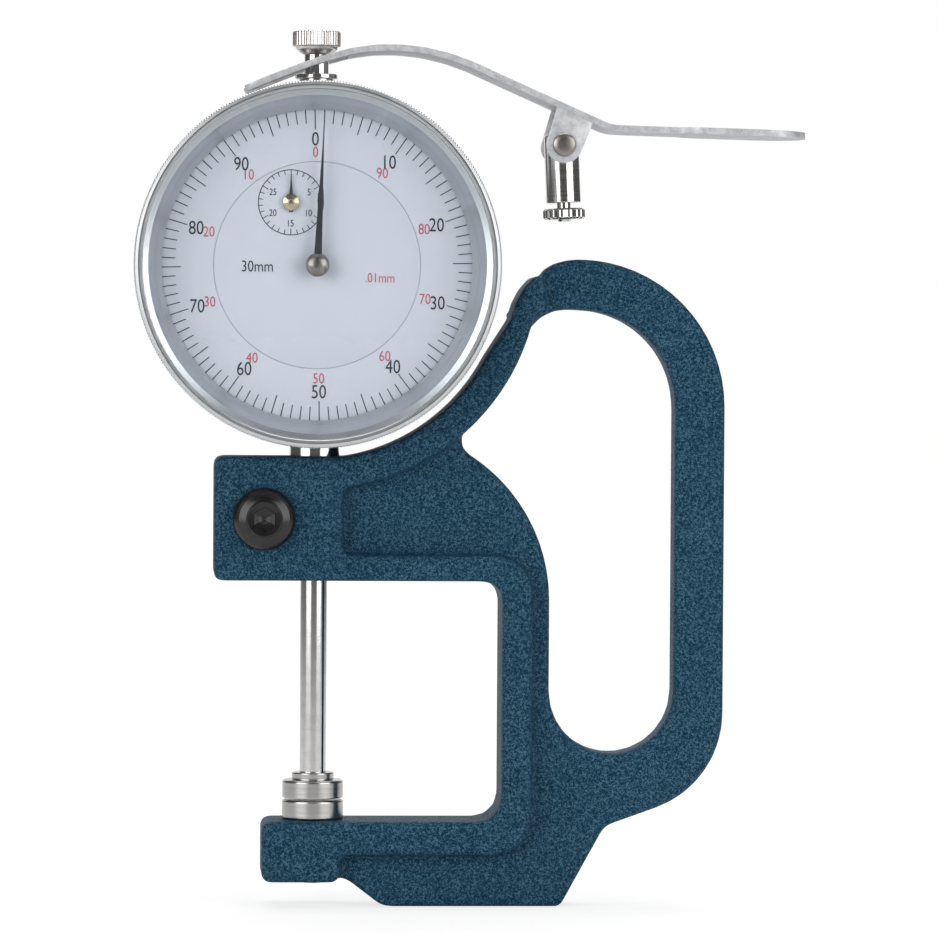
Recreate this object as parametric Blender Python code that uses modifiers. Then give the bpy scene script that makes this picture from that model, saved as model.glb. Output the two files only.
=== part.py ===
"""Dial thickness gauge with a lifting lever, modelled in metres with +Z up.

The front of the gauge faces -Y. The origin lies on the flat underside of the foot, in the
middle plane of the frame, and the spindle's axis is parallel to Z in that plane.
"""

import math

import bmesh
import bpy
from mathutils import Matrix, Vector

MM = 0.001

# Clearances shared by all pieces
SEAT_GAP = 0.3 * MM
FIT_GAP = 0.08 * MM
WELD_DISTANCE = 0.005 * MM
OVERRUN = 2.0 * MM
FILL_INSET = 2.0 * MM
FLUSH_INSET = 0.2 * MM
SEGMENT_LENGTH = 2.4 * MM
MIN_ARC_STEP_COUNT = 3
ROUND_STEP_COUNT = 32
SMALL_ROUND_STEP_COUNT = 16
SMOOTH_ANGLE = math.radians(35)

# Measuring axis and travel
SPINDLE_X = -24.5 * MM
TRAVEL = 30.0 * MM
THROAT_DEPTH = 30.0 * MM

# Frame: thick C-shaped rim, thinner web, foot and handle
RIM_THICKNESS = 14.0 * MM
WEB_THICKNESS = 8.0 * MM
EDGE_ROUND = 0.8 * MM
ARM_TOP_Z = 72.2 * MM
ARM_BOTTOM_Z = 52.3 * MM
ARM_OVERHANG = 16.15 * MM
LOWER_ARM_Z = 13.85 * MM
BLOCK_CORNER = 1.3 * MM
UPPER_THROAT_CORNER = 3.0 * MM
LOWER_THROAT_CORNER = 3.8 * MM
DIAL_RECESS_CLEARANCE = 2.2 * MM
BAND_WIDTH = 4.9 * MM
BAND_END_X = 12.2 * MM
RECESS_END_ANGLE = math.radians(-23)
SHOULDER_START_ANGLE = math.radians(172)
WEB_LEAD_ANGLE = math.radians(-11.5)
UPPER_RIM_WIDTH = 4.2 * MM
SIDE_RIM_WIDTH = 4.9 * MM
LOWER_RIM_WIDTH = 5.4 * MM
RIM_OUTER_CORNER = 6.0 * MM
POCKET_CORNER = 1.2 * MM
POCKET_WALL_OFFSET = 4.4 * MM
BOSS_HALF_WIDTH = 8.3 * MM
BOSS_RIGHT_OFFSET = 4.2 * MM
BOSS_BOTTOM_Z = 4.1 * MM
BOSS_FILL_RISE = 0.7 * MM
FOOT_LEFT_X = -13.3 * MM
FOOT_RIGHT_X = 15.3 * MM
FOOT_RISE_RUN = 5.9 * MM
FOOT_RISE = 4.5 * MM
FOOT_RISE_CORNER = 3.5 * MM
FOOT_CORNER = 1.0 * MM
FOOT_FLANK_X = 22.4 * MM
FOOT_FLANK_Z = 12.9 * MM
FOOT_FLANK_CORNER = 3.0 * MM

# Handle loop
HANDLE_X = 17.7 * MM
HANDLE_TOP_Z = 104.0 * MM
HANDLE_RADIUS = 23.7 * MM
HANDLE_WIDTH = 8.1 * MM
HANDLE_SHOULDER_RADIUS = 11.1 * MM
HEEL_Z = 31.1 * MM
HEEL_RADIUS = 16.2 * MM
HEEL_END_ANGLE = math.radians(-69.6)
LOOP_BOTTOM_RADIUS = 10.0 * MM
LOOP_BOTTOM_Z = 34.6 * MM
LOOP_CORNER = 6.6 * MM
WEB_EDGE_RADIUS = 27.7 * MM
WEB_EDGE_Z = 49.1 * MM
NOTCH_RADIUS = 2.4 * MM

# Stem clamp in the arm
STEM_RADIUS = 4.0 * MM
STEM_RECESS = 0.4 * MM
SLIT_WIDTH = 1.2 * MM
CLAMP_OFFSET = 8.15 * MM
CLAMP_Z = 62.2 * MM
CLAMP_HEAD_RADIUS = 5.0 * MM
CLAMP_HEAD_HEIGHT = 3.3 * MM
CLAMP_RING_RADIUS = 2.9 * MM
CLAMP_SHANK_RADIUS = 2.6 * MM
CLAMP_SHANK_LENGTH = 12.0 * MM
CLAMP_HEX_FLATS = 4.0 * MM
CLAMP_HEX_SIDE_COUNT = 6
CLAMP_HEX_DEPTH = 2.0 * MM

# Anvil and contact
ANVIL_RADIUS = 4.95 * MM
ANVIL_HEIGHT = 2.6 * MM
ANVIL_EDGE = 0.35 * MM
ANVIL_SHANK_RADIUS = 2.65 * MM
ANVIL_TAIL = 0.6 * MM
CONTACT_RADIUS = 4.9 * MM
CONTACT_HEIGHT = 2.9 * MM
CONTACT_EDGE = 0.45 * MM
CONTACT_HUB_RADIUS = 3.4 * MM
CONTACT_HUB_HEIGHT = 1.2 * MM
CONTACT_STUD_RADIUS = 1.0 * MM
CONTACT_STUD_LENGTH = 4.0 * MM

# Spindle, rack and lifting knob
SPINDLE_RADIUS = 2.13 * MM
RACK_ROD_RADIUS = 1.95 * MM
RACK_PITCH = 0.625 * MM
RACK_LINE = 1.5 * MM
RACK_HALF_WIDTH = 1.2 * MM
RACK_SPARE_TOOTH_COUNT = 2
ROD_SHOULDER_CLEARANCE = 2.0 * MM
KNOB_RADIUS = 3.85 * MM
KNOB_RIM_HEIGHT = 2.1 * MM
KNOB_RIM_EDGE = 0.3 * MM
KNOB_CONE_HEIGHT = 1.75 * MM
KNOB_STANDOFF = 3.15 * MM
KNOB_STUD_RADIUS = 1.1 * MM
KNOB_STUD_LENGTH = 2.4 * MM
KNOB_GROOVE_COUNT = 18
KNOB_GROOVE_DEPTH = 0.18 * MM
BUSH_RADIUS = 3.05 * MM
BUSH_RISE = 2.4 * MM
BUSH_WALL_RADIUS = 2.6 * MM

# Case behind the dial
CASE_RADIUS = 28.6 * MM
CASE_SHOULDER = 1.05 * MM
CASE_WALL = 2.0 * MM
CASE_ARM_GAP = 1.8 * MM
CASE_FRONT = 6.2 * MM
CASE_SPIGOT_LENGTH = 2.6 * MM
CASE_BACK = 8.5 * MM
CASE_BACK_ROUND = 1.4 * MM
CASE_FLANGE_THICKNESS = 1.8 * MM
CASE_FLANGE_WIDTH = 5.0 * MM
COVER_INSET = 1.0 * MM
COVER_THICKNESS = 1.6 * MM
COVER_EDGE = 0.7 * MM
COVER_SPIGOT_CLEARANCE = 0.4 * MM
COVER_SCREW_COUNT = 4
COVER_SCREW_HEAD_RADIUS = 1.7 * MM
COVER_SCREW_HEAD_HEIGHT = 0.9 * MM
COVER_SCREW_SHANK_RADIUS = 0.9 * MM
COVER_SCREW_SLOT_WIDTH = 0.5 * MM
COVER_SCREW_SLOT_DEPTH = 0.4 * MM

# Bezel, crystal and dial
BEZEL_OVERHANG = 0.5 * MM
BEZEL_FACE = 15.2 * MM
BEZEL_RIM_ROUND = 0.9 * MM
BEZEL_RIM_WIDTH = 1.3 * MM
BEZEL_FACET_COUNT = 72
BEZEL_BACK_CHAMFER = 0.6 * MM
BEZEL_FLANGE_THICKNESS = 0.8 * MM
BEZEL_SLOPE_WIDTH = 3.0 * MM
CRYSTAL_THICKNESS = 1.0 * MM
CRYSTAL_RECESS = 0.5 * MM
CRYSTAL_DOME = 0.5 * MM
CRYSTAL_SEAT = 0.6 * MM
DIAL_THICKNESS = 0.5 * MM
DIAL_RING_CLEARANCE = 0.5 * MM
DIAL_CENTRE_RADIUS = 16.4 * MM

# Hands
POINTER_ANGLE = math.radians(2.5)
POINTER_HUB_RADIUS = 1.9 * MM
POINTER_HUB_HEIGHT = 1.2 * MM
POINTER_TIP_CLEARANCE = 0.2 * MM
POINTER_BASE_HALF_WIDTH = 0.65 * MM
POINTER_BULGE_HALF_WIDTH = 0.45 * MM
POINTER_BULGE_REACH = 10.0 * MM
POINTER_NECK_REACH = 16.0 * MM
POINTER_TIP_HALF_WIDTH = 0.14 * MM
POINTER_THICKNESS = 0.3 * MM
POINTER_CLEARANCE = 1.0 * MM
COUNTER_X = -4.2 * MM
COUNTER_Z = 9.9 * MM
COUNTER_HAND_REACH = 4.6 * MM
COUNTER_HAND_TAIL = 1.6 * MM
COUNTER_HAND_BASE_HALF_WIDTH = 0.4 * MM
COUNTER_HAND_TIP_HALF_WIDTH = 0.12 * MM
COUNTER_HAND_THICKNESS = 0.25 * MM
COUNTER_HUB_RADIUS = 1.35 * MM
COUNTER_HUB_HEIGHT = 0.5 * MM

# Gear train
RACK_PINION_TOOTH_COUNT = 16
MAIN_GEAR_TOOTH_COUNT = 80
CENTRE_PINION_TOOTH_COUNT = 8
MAIN_MODULE = 0.15 * MM
COUNTER_PINION_TOOTH_COUNT = 12
COUNTER_WHEEL_TOOTH_COUNT = 36
GEAR_THICKNESS = 0.6 * MM
PINION_OVERHANG = 0.2 * MM
ADDENDUM_SHARE = 0.8
DEDENDUM_SHARE = 1.15
TOOTH_ROOT_SHARE = 0.27
TOOTH_TIP_SHARE = 0.11
ARBOR_RADIUS = 0.5 * MM
FINE_ARBOR_RADIUS = 0.36 * MM
TAKE_UP_ANGLE = math.radians(-52)
HAIRSPRING_TURN_COUNT = 5
HAIRSPRING_INNER_RADIUS = 1.0 * MM
HAIRSPRING_OUTER_RADIUS = 4.4 * MM
HAIRSPRING_WIRE_RADIUS = 0.1 * MM
HAIRSPRING_POINT_COUNT = 14

# Movement plates
ROD_CLEARANCE = 0.45 * MM
MAIN_PLATE_CLEARANCE = 1.4 * MM
MAIN_PLATE_THICKNESS = 0.8 * MM
GEAR_LAYER_GAP = 0.8 * MM
BRIDGE_RADIUS = 14.0 * MM
BRIDGE_THICKNESS = 1.0 * MM
BRIDGE_LEG_RADIUS = 1.2 * MM
BRIDGE_LEG_CIRCLE = 12.6 * MM
BRIDGE_LEG_COUNT = 3
BRIDGE_LEG_ANGLE = math.radians(35)
PILLAR_RADIUS = 1.4 * MM
PILLAR_INSET = 1.6 * MM
PILLAR_COUNT = 4

# Spindle guide and return spring
GUIDE_PIN_DROP = 15.5 * MM
GUIDE_PIN_RADIUS = 0.8 * MM
GUIDE_PIN_REACH = 6.4 * MM
GUIDE_PIN_SOCKET = 1.2 * MM
GUIDE_RAIL_INNER = 3.6 * MM
GUIDE_RAIL_OUTER = 4.8 * MM
GUIDE_RAIL_HALF_WIDTH = 1.9 * MM
GUIDE_RAIL_SLOT_HALF_WIDTH = 0.95 * MM
GUIDE_RAIL_MARGIN = 3.0 * MM
SPRING_COIL_RADIUS = 1.0 * MM
SPRING_WIRE_RADIUS = 0.18 * MM
SPRING_TURN_COUNT = 14
SPRING_POINT_COUNT = 8
SPRING_POST_RADIUS = 0.8 * MM
SPRING_REST_LENGTH = 5.5 * MM

# Lifting lever, its post and pin
PIVOT_X = 15.0 * MM
PIVOT_DROP = 13.55 * MM
LEVER_THICKNESS = 0.6 * MM
LEVER_WIDTH = 12.0 * MM
FORK_TIP_REACH = 11.0 * MM
FORK_TIP_RISE = 2.15 * MM
FORK_SLOT_WIDTH = 5.2 * MM
FORK_SLOT_BACK = 5.0 * MM
LEVER_CREST_RISE = 4.2 * MM
LEVER_CREST_LEFT = 6.4 * MM
LEVER_CREST_RIGHT = 18.3 * MM
LEVER_CREST_LEFT_BEND = 12.0 * MM
LEVER_CREST_RIGHT_BEND = 22.0 * MM
LEVER_ELBOW_X = 23.0 * MM
LEVER_ELBOW_RISE = 2.7 * MM
LEVER_ELBOW_BEND = 4.0 * MM
PAD_END_X = 54.4 * MM
PAD_DROP = 0.8 * MM
PAD_START_X = 33.0 * MM
PAD_WIDTH = 16.0 * MM
EAR_BOTTOM_RADIUS = 2.9 * MM
EAR_TOP_LEFT = 0.75 * MM
EAR_TOP_RIGHT = 4.6 * MM
EAR_TOP_OVERLAP = 0.4 * MM
PIN_RADIUS = 1.1 * MM
PIN_HEAD_RADIUS = 1.88 * MM
PIN_HEAD_HEIGHT = 0.8 * MM
POST_RADIUS = 2.8 * MM
POST_TILT = math.radians(-2.5)
POST_HEAD_RISE = 1.9 * MM
POST_LENGTH = 9.1 * MM
POST_EDGE = 0.4 * MM
POST_SCREW_NECK_RADIUS = 1.1 * MM
POST_SCREW_NECK_LENGTH = 0.9 * MM
POST_SCREW_STUD_LENGTH = 4.0 * MM
WHEEL_RADIUS = 3.4 * MM
WHEEL_THICKNESS = 1.75 * MM
WHEEL_EDGE = 0.3 * MM
WHEEL_BOSS_LENGTH = 0.35 * MM
WHEEL_GROOVE_COUNT = 16
WHEEL_GROOVE_DEPTH = 0.18 * MM

# Sizes that follow from the ones above
DIAL_Z = ARM_TOP_Z + CASE_ARM_GAP + CASE_RADIUS
DIAL_RECESS_RADIUS = CASE_RADIUS + DIAL_RECESS_CLEARANCE
FRAME_FRONT = RIM_THICKNESS / 2
THROAT_WALL_X = SPINDLE_X + THROAT_DEPTH
BAND_RADIUS = DIAL_RECESS_RADIUS + BAND_WIDTH
BLOCK_LEFT_X = SPINDLE_X - ARM_OVERHANG
BOSS_LEFT_X = SPINDLE_X - BOSS_HALF_WIDTH
BOSS_RIGHT_X = SPINDLE_X + BOSS_RIGHT_OFFSET
POCKET_LEFT_X = SPINDLE_X + POCKET_WALL_OFFSET
CLAMP_X = SPINDLE_X - CLAMP_OFFSET
HANDLE_Z = HANDLE_TOP_Z - HANDLE_RADIUS
HEEL_X = HANDLE_X + HANDLE_RADIUS - HEEL_RADIUS
LOOP_RADIUS = HANDLE_RADIUS - HANDLE_WIDTH
LOOP_TOP_Z = HANDLE_Z + LOOP_RADIUS
LOOP_RIGHT_X = HANDLE_X + LOOP_RADIUS
LOOP_LEFT_X = LOOP_RIGHT_X - 2 * LOOP_BOTTOM_RADIUS
LOOP_BOTTOM_X = LOOP_RIGHT_X - LOOP_BOTTOM_RADIUS
SHOULDER_Z = HANDLE_TOP_Z - HANDLE_SHOULDER_RADIUS

ANVIL_BASE_Z = LOWER_ARM_Z + SEAT_GAP
ANVIL_TOP_Z = ANVIL_BASE_Z + ANVIL_HEIGHT
CONTACT_BASE_Z = ANVIL_TOP_Z + SEAT_GAP
CONTACT_TOP_Z = CONTACT_BASE_Z + CONTACT_HEIGHT + CONTACT_HUB_HEIGHT
SPINDLE_BASE_Z = CONTACT_TOP_Z + SEAT_GAP
CASE_BOTTOM_Z = DIAL_Z - CASE_RADIUS
CASE_TOP_Z = DIAL_Z + CASE_RADIUS
CASE_BORE_RADIUS = CASE_RADIUS - CASE_WALL
CASE_SPIGOT_RADIUS = CASE_RADIUS - CASE_SHOULDER
CASE_FLANGE_BORE = CASE_BORE_RADIUS - CASE_FLANGE_WIDTH
COVER_RADIUS = CASE_RADIUS - COVER_INSET
COVER_SPIGOT_RADIUS = CASE_FLANGE_BORE - COVER_SPIGOT_CLEARANCE
COVER_SCREW_CIRCLE = (CASE_FLANGE_BORE + COVER_RADIUS) / 2
BUSH_TOP_Z = CASE_TOP_Z + BUSH_RISE
KNOB_BASE_Z = BUSH_TOP_Z + KNOB_STANDOFF
KNOB_TOP_Z = KNOB_BASE_Z + KNOB_CONE_HEIGHT + KNOB_RIM_HEIGHT
SPINDLE_TOP_Z = KNOB_BASE_Z - SEAT_GAP
BEZEL_RADIUS = CASE_RADIUS + BEZEL_OVERHANG
BEZEL_RIM_RADIUS = BEZEL_RADIUS - BEZEL_RIM_WIDTH
DIAL_OPENING_RADIUS = BEZEL_RIM_RADIUS - BEZEL_SLOPE_WIDTH
DIAL_RING_RADIUS = CASE_BORE_RADIUS - DIAL_RING_CLEARANCE
POINTER_REACH = DIAL_OPENING_RADIUS - POINTER_TIP_CLEARANCE
MAIN_PLATE_RADIUS = CASE_BORE_RADIUS - MAIN_PLATE_CLEARANCE
PILLAR_CIRCLE = MAIN_PLATE_RADIUS - PILLAR_INSET
ROD_SHOULDER_Z = CASE_BOTTOM_Z + ROD_SHOULDER_CLEARANCE
STEM_BASE_Z = ARM_BOTTOM_Z + STEM_RECESS
STEM_TOP_Z = DIAL_Z - CASE_BORE_RADIUS - SEAT_GAP
BUSH_BASE_Z = DIAL_Z + CASE_BORE_RADIUS + SEAT_GAP

RACK_MODULE = RACK_PITCH / math.pi
RACK_PINION_RADIUS = RACK_MODULE * RACK_PINION_TOOTH_COUNT / 2
GEAR_CENTRES = MAIN_MODULE * (MAIN_GEAR_TOOTH_COUNT + CENTRE_PINION_TOOTH_COUNT) / 2
ARBOR_X = -(RACK_LINE + RACK_PINION_RADIUS)
ARBOR_Z = math.sqrt(GEAR_CENTRES**2 - ARBOR_X**2)
COUNTER_CENTRES = math.hypot(COUNTER_X - ARBOR_X, COUNTER_Z - ARBOR_Z)
COUNTER_MODULE = 2 * COUNTER_CENTRES / (COUNTER_PINION_TOOTH_COUNT + COUNTER_WHEEL_TOOTH_COUNT)
TAKE_UP_X = GEAR_CENTRES * math.cos(TAKE_UP_ANGLE)
TAKE_UP_Z = GEAR_CENTRES * math.sin(TAKE_UP_ANGLE)

# Depths are counted forwards from the spindle's plane, so the front is positive here
PLATE_BACK = RACK_ROD_RADIUS + ROD_CLEARANCE
PLATE_FRONT = PLATE_BACK + MAIN_PLATE_THICKNESS
MAIN_GEAR_BACK = PLATE_FRONT + GEAR_LAYER_GAP
MAIN_GEAR_FRONT = MAIN_GEAR_BACK + GEAR_THICKNESS
COUNTER_GEAR_BACK = MAIN_GEAR_FRONT + GEAR_LAYER_GAP
COUNTER_GEAR_FRONT = COUNTER_GEAR_BACK + GEAR_THICKNESS
BRIDGE_BACK = COUNTER_GEAR_FRONT + GEAR_LAYER_GAP
BRIDGE_FRONT = BRIDGE_BACK + BRIDGE_THICKNESS
DIAL_BACK = BRIDGE_FRONT + SEAT_GAP
DIAL_FRONT = DIAL_BACK + DIAL_THICKNESS
COUNTER_HAND_BACK = DIAL_FRONT + SEAT_GAP
COUNTER_HUB_FRONT = COUNTER_HAND_BACK + COUNTER_HAND_THICKNESS + COUNTER_HUB_HEIGHT
POINTER_BACK = COUNTER_HUB_FRONT + POINTER_CLEARANCE / 2
POINTER_HUB_FRONT = POINTER_BACK + POINTER_HUB_HEIGHT
BEZEL_BACK = CASE_FRONT + SEAT_GAP
BEZEL_FLANGE_BACK = DIAL_FRONT + SEAT_GAP
BEZEL_FLANGE_FRONT = BEZEL_FLANGE_BACK + BEZEL_FLANGE_THICKNESS
CRYSTAL_BACK = BEZEL_FACE - CRYSTAL_RECESS - CRYSTAL_THICKNESS

LEVER_HALF_WIDTH = LEVER_WIDTH / 2
FORK_Z = BUSH_TOP_Z + FORK_TIP_RISE
PIVOT_Z = FORK_Z - PIVOT_DROP

PARTS = "dial_thickness_gauge"
CUTTERS = "dial_thickness_gauge_cutters"


# Scene and materials

def clear_scene():
    """Remove every object and make the two collections."""
    for old in list(bpy.data.objects):
        bpy.data.objects.remove(old, do_unlink=True)
    for title in (PARTS, CUTTERS):
        group = bpy.data.collections.new(title)
        bpy.context.scene.collection.children.link(group)
    bpy.data.collections[CUTTERS].hide_render = True


def make_material(name, colour, roughness, metallic):
    """A Principled material with a colour, a roughness and a metallic value."""
    made = bpy.data.materials.new(name)
    made.use_nodes = True
    shader = made.node_tree.nodes["Principled BSDF"]
    shader.inputs["Base Color"].default_value = (*colour, 1.0)
    shader.inputs["Roughness"].default_value = roughness
    shader.inputs["Metallic"].default_value = metallic
    made.diffuse_color = (*colour, 1.0)
    return made


FINISHES = {
    "paint": ((0.03, 0.11, 0.19), 0.45, 0.0),
    "black_oxide": ((0.02, 0.02, 0.02), 0.4, 0.6),
    "steel": ((0.62, 0.62, 0.6), 0.22, 1.0),
    "chrome": ((0.75, 0.75, 0.74), 0.12, 1.0),
    "satin_alloy": ((0.66, 0.67, 0.69), 0.4, 0.9),
    "bezel_grey": ((0.42, 0.46, 0.48), 0.32, 0.9),
    "dial_white": ((0.72, 0.76, 0.86), 0.55, 0.0),
    "brass": ((0.72, 0.53, 0.25), 0.3, 1.0),
    "crystal": ((0.9, 0.93, 0.95), 0.05, 0.0),
    "hand_black": ((0.03, 0.03, 0.04), 0.4, 0.2),
}


def add_object(name, mesh, finish, cutter=False):
    """An object for a mesh, in the collection of the parts or of the cutters."""
    made = bpy.data.objects.new(name, mesh)
    bpy.data.collections[CUTTERS if cutter else PARTS].objects.link(made)
    if cutter:
        made.hide_render = True
        made.display_type = "WIRE"
    else:
        title = f"{name}_{finish}"
        mesh.materials.append(make_material(title, *FINISHES[finish]))
    return made


def weld(mesh):
    """Merge the corners of a mesh that lie closer than any gap or edge of the model."""
    shape = bmesh.new()
    shape.from_mesh(mesh)
    bmesh.ops.remove_doubles(shape, verts=shape.verts, dist=WELD_DISTANCE)
    bmesh.ops.dissolve_degenerate(shape, edges=shape.edges, dist=WELD_DISTANCE)
    bmesh.ops.recalc_face_normals(shape, faces=shape.faces)
    shape.to_mesh(mesh)
    shape.free()


def bake(piece):
    """Turn the piece's modifiers into plain mesh, shaded smooth with sharp edges kept."""
    graph = bpy.context.evaluated_depsgraph_get()
    mesh = bpy.data.meshes.new_from_object(piece.evaluated_get(graph))
    weld(mesh)
    piece.modifiers.clear()
    piece.data = mesh
    mesh.shade_smooth()
    mesh.set_sharp_from_angle(angle=SMOOTH_ANGLE)
    return piece


def combine(piece, other, operation):
    """Add a Boolean with another object to the piece and bake it."""
    step = piece.modifiers.new(operation.lower(), "BOOLEAN")
    step.operation = operation
    step.solver = "EXACT"
    step.object = other
    bake(piece)
    bpy.data.objects.remove(other, do_unlink=True)
    return piece


def cut(piece, *cutters):
    """Cut each cutter out of the piece."""
    for cutter in cutters:
        combine(piece, cutter, "DIFFERENCE")
    return piece


def join(piece, *others):
    """Unite the piece with other shapes that overlap it."""
    for other in others:
        combine(piece, other, "UNION")
    return piece


# Turned shapes

def turned(name, profile, finish="steel", steps=ROUND_STEP_COUNT, cutter=False):
    """A shape turned about Z from (radius, height) points that run down the outer side.

    A profile whose ends are on the axis stays open there, and any other is closed to a ring.
    """
    shape = bmesh.new()
    corners = [shape.verts.new((radius, 0.0, height)) for radius, height in profile]
    for first, second in zip(corners, corners[1:]):
        shape.edges.new((first, second))
    if profile[0][0] > 0.0:
        shape.edges.new((corners[-1], corners[0]))
    mesh = bpy.data.meshes.new(name)
    shape.to_mesh(mesh)
    shape.free()
    piece = add_object(name, mesh, finish, cutter)
    spin = piece.modifiers.new("turn", "SCREW")
    spin.axis = "Z"
    spin.angle = math.tau
    spin.steps = steps
    spin.render_steps = steps
    spin.use_merge_vertices = True
    spin.merge_threshold = WELD_DISTANCE
    spin.use_smooth_shade = True
    return bake(piece)


def rod_profile(radius, top, bottom):
    """Profile of a plain cylinder."""
    return [(0.0, top), (radius, top), (radius, bottom), (0.0, bottom)]


def tube_profile(outer, inner, top, bottom):
    """Profile of a plain ring or tube."""
    return [(inner, top), (outer, top), (outer, bottom), (inner, bottom)]


def face_front(piece, x=0.0, z=0.0):
    """Turn a shape made about Z so that its +Z points to the front, at the given place."""
    piece.rotation_euler = (math.pi / 2, 0.0, 0.0)
    piece.location = (x, 0.0, z)
    bpy.context.view_layer.update()
    return piece


def on_dial(piece, x=0.0, z=0.0):
    """Place a shape made about Z on an axis that is given from the dial's centre."""
    return face_front(piece, SPINDLE_X + x, DIAL_Z + z)


def on_spindle(piece, z=0.0):
    """Place a shape made about Z on the spindle's axis."""
    piece.location = (SPINDLE_X, 0.0, z)
    bpy.context.view_layer.update()
    return piece


def drill(name, radius, low, high, steps=SMALL_ROUND_STEP_COUNT):
    """A cylinder used as a cutter."""
    return turned(name, rod_profile(radius, high, low), steps=steps, cutter=True)


def block(name, low, high, finish="steel", cutter=False):
    """A box between two corners, from a primitive cube."""
    shape = bmesh.new()
    bmesh.ops.create_cube(shape, size=1.0)
    size = [b - a for a, b in zip(low, high)]
    middle = [(a + b) / 2 for a, b in zip(low, high)]
    matrix = Matrix.Translation(middle) @ Matrix.Diagonal((*size, 1.0))
    bmesh.ops.transform(shape, matrix=matrix, verts=shape.verts)
    mesh = bpy.data.meshes.new(name)
    shape.to_mesh(mesh)
    shape.free()
    return add_object(name, mesh, finish, cutter)


# Flat outlines

def arc(centre, radius, start, end):
    """Points along an arc from one angle to another, in steps of about the segment length."""
    length = abs(end - start) * radius
    count = max(MIN_ARC_STEP_COUNT, round(length / SEGMENT_LENGTH))
    angles = [start + (end - start) * step / count for step in range(count + 1)]
    return [
        (centre[0] + radius * math.cos(angle), centre[1] + radius * math.sin(angle))
        for angle in angles
    ]


def circle_angle(centre, radius, other_centre, other_radius, side):
    """Angle on the first circle of its crossing with the second, on the side +1 or -1."""
    across = other_centre[0] - centre[0]
    up = other_centre[1] - centre[1]
    span = math.hypot(across, up)
    reach = (radius**2 - other_radius**2 + span**2) / (2 * span)
    return math.atan2(up, across) + side * math.acos(reach / radius)


def walk(points, start, step, distance):
    """The point at a distance along a closed outline, and the last corner index passed."""
    index = start
    left = distance
    while True:
        follower = (index + step) % len(points)
        here = Vector(points[index])
        there = Vector(points[follower])
        span = (there - here).length
        if span > left:
            return here.lerp(there, left / span), index
        left -= span
        index = follower


def rounded(corners):
    """A closed outline with its corners rounded.

    Each corner is (x, z, radius); a radius of zero keeps the corner, as along an arc.
    """
    points = [(x, z) for x, z, _ in corners]
    count = len(points)
    skipped = set()
    bends = {}
    for index, (x, z, radius) in enumerate(corners):
        if radius == 0.0:
            continue
        here = Vector((x, z))
        before = (here - Vector(points[index - 1])).normalized()
        after = (Vector(points[(index + 1) % count]) - here).normalized()
        turn = before.angle(after)
        setback = radius * math.tan(turn / 2)
        start, first = walk(points, index, -1, setback)
        end, last = walk(points, index, 1, setback)
        steps = max(MIN_ARC_STEP_COUNT, round(radius * turn / SEGMENT_LENGTH))
        bends[index] = conic(start, here, end, math.cos(turn / 2), steps)
        passed = (index - first) % count
        skipped.update((index - offset) % count for offset in range(passed + 1))
        passed = (last - index) % count
        skipped.update((index + offset) % count for offset in range(passed + 1))
    outline = []
    for index, point in enumerate(points):
        if index in bends:
            outline.extend(bends[index])
        elif index not in skipped:
            outline.append(point)
    return outline


def conic(start, corner, end, weight, steps):
    """Points of the conic from start to end that aims at the corner, a circle's arc here."""
    made = []
    for step in range(steps + 1):
        share = step / steps
        first = (1 - share) ** 2
        middle = 2 * share * (1 - share) * weight
        last = share**2
        total = first + middle + last
        made.append(tuple((start * first + corner * middle + end * last) / total))
    return made


def along(points):
    """Outline corners that stay as they are."""
    return [(x, z, 0.0) for x, z in points]


def plate(name, outlines, depth, edge=0.0, finish="steel", cutter=False, bevel_steps=1):
    """A plate in the XZ plane, centred on Y, from closed outlines, the later ones holes."""
    curve = bpy.data.curves.new(name, "CURVE")
    curve.dimensions = "2D"
    curve.fill_mode = "BOTH"
    curve.extrude = depth / 2 - edge
    curve.bevel_depth = edge
    curve.bevel_resolution = bevel_steps
    curve.offset = -edge
    for outline in outlines:
        spline = curve.splines.new("POLY")
        spline.points.add(len(outline) - 1)
        for point, (x, z) in zip(spline.points, outline):
            point.co = (x, z, 0.0, 1.0)
        spline.use_cyclic_u = True
    guide = bpy.data.objects.new(name + "_outline", curve)
    bpy.data.collections[CUTTERS].objects.link(guide)
    guide.rotation_euler = (math.pi / 2, 0.0, 0.0)
    bpy.context.view_layer.update()
    graph = bpy.context.evaluated_depsgraph_get()
    mesh = bpy.data.meshes.new_from_object(guide.evaluated_get(graph))
    mesh.transform(guide.matrix_world)
    bpy.data.objects.remove(guide, do_unlink=True)
    bpy.data.curves.remove(curve)
    weld(mesh)
    mesh.materials.clear()
    return bake(add_object(name, mesh, finish, cutter))


def place(piece, x=0.0, y=0.0, z=0.0):
    """Put a piece at a place in the world."""
    piece.location = (x, y, z)
    bpy.context.view_layer.update()
    return piece


def settle(piece):
    """Keep the piece's mesh where it is in the world and move its origin to zero."""
    bpy.context.view_layer.update()
    piece.data.transform(piece.matrix_world)
    piece.matrix_world = Matrix.Identity(4)
    bpy.context.view_layer.update()
    return piece


def gear_outline(teeth, module, phase=0.0):
    """Outline of a spur gear with straight-sided teeth, one of them centred on the phase."""
    pitch_radius = module * teeth / 2
    tip = pitch_radius + module * ADDENDUM_SHARE
    root = pitch_radius - module * DEDENDUM_SHARE
    pitch = math.tau / teeth
    corners = (
        (root, -TOOTH_ROOT_SHARE),
        (tip, -TOOTH_TIP_SHARE),
        (tip, TOOTH_TIP_SHARE),
        (root, TOOTH_ROOT_SHARE),
    )
    outline = []
    for tooth in range(teeth):
        for radius, share in corners:
            angle = phase + (tooth + share) * pitch
            outline.append((radius * math.cos(angle), radius * math.sin(angle)))
    return outline


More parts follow.
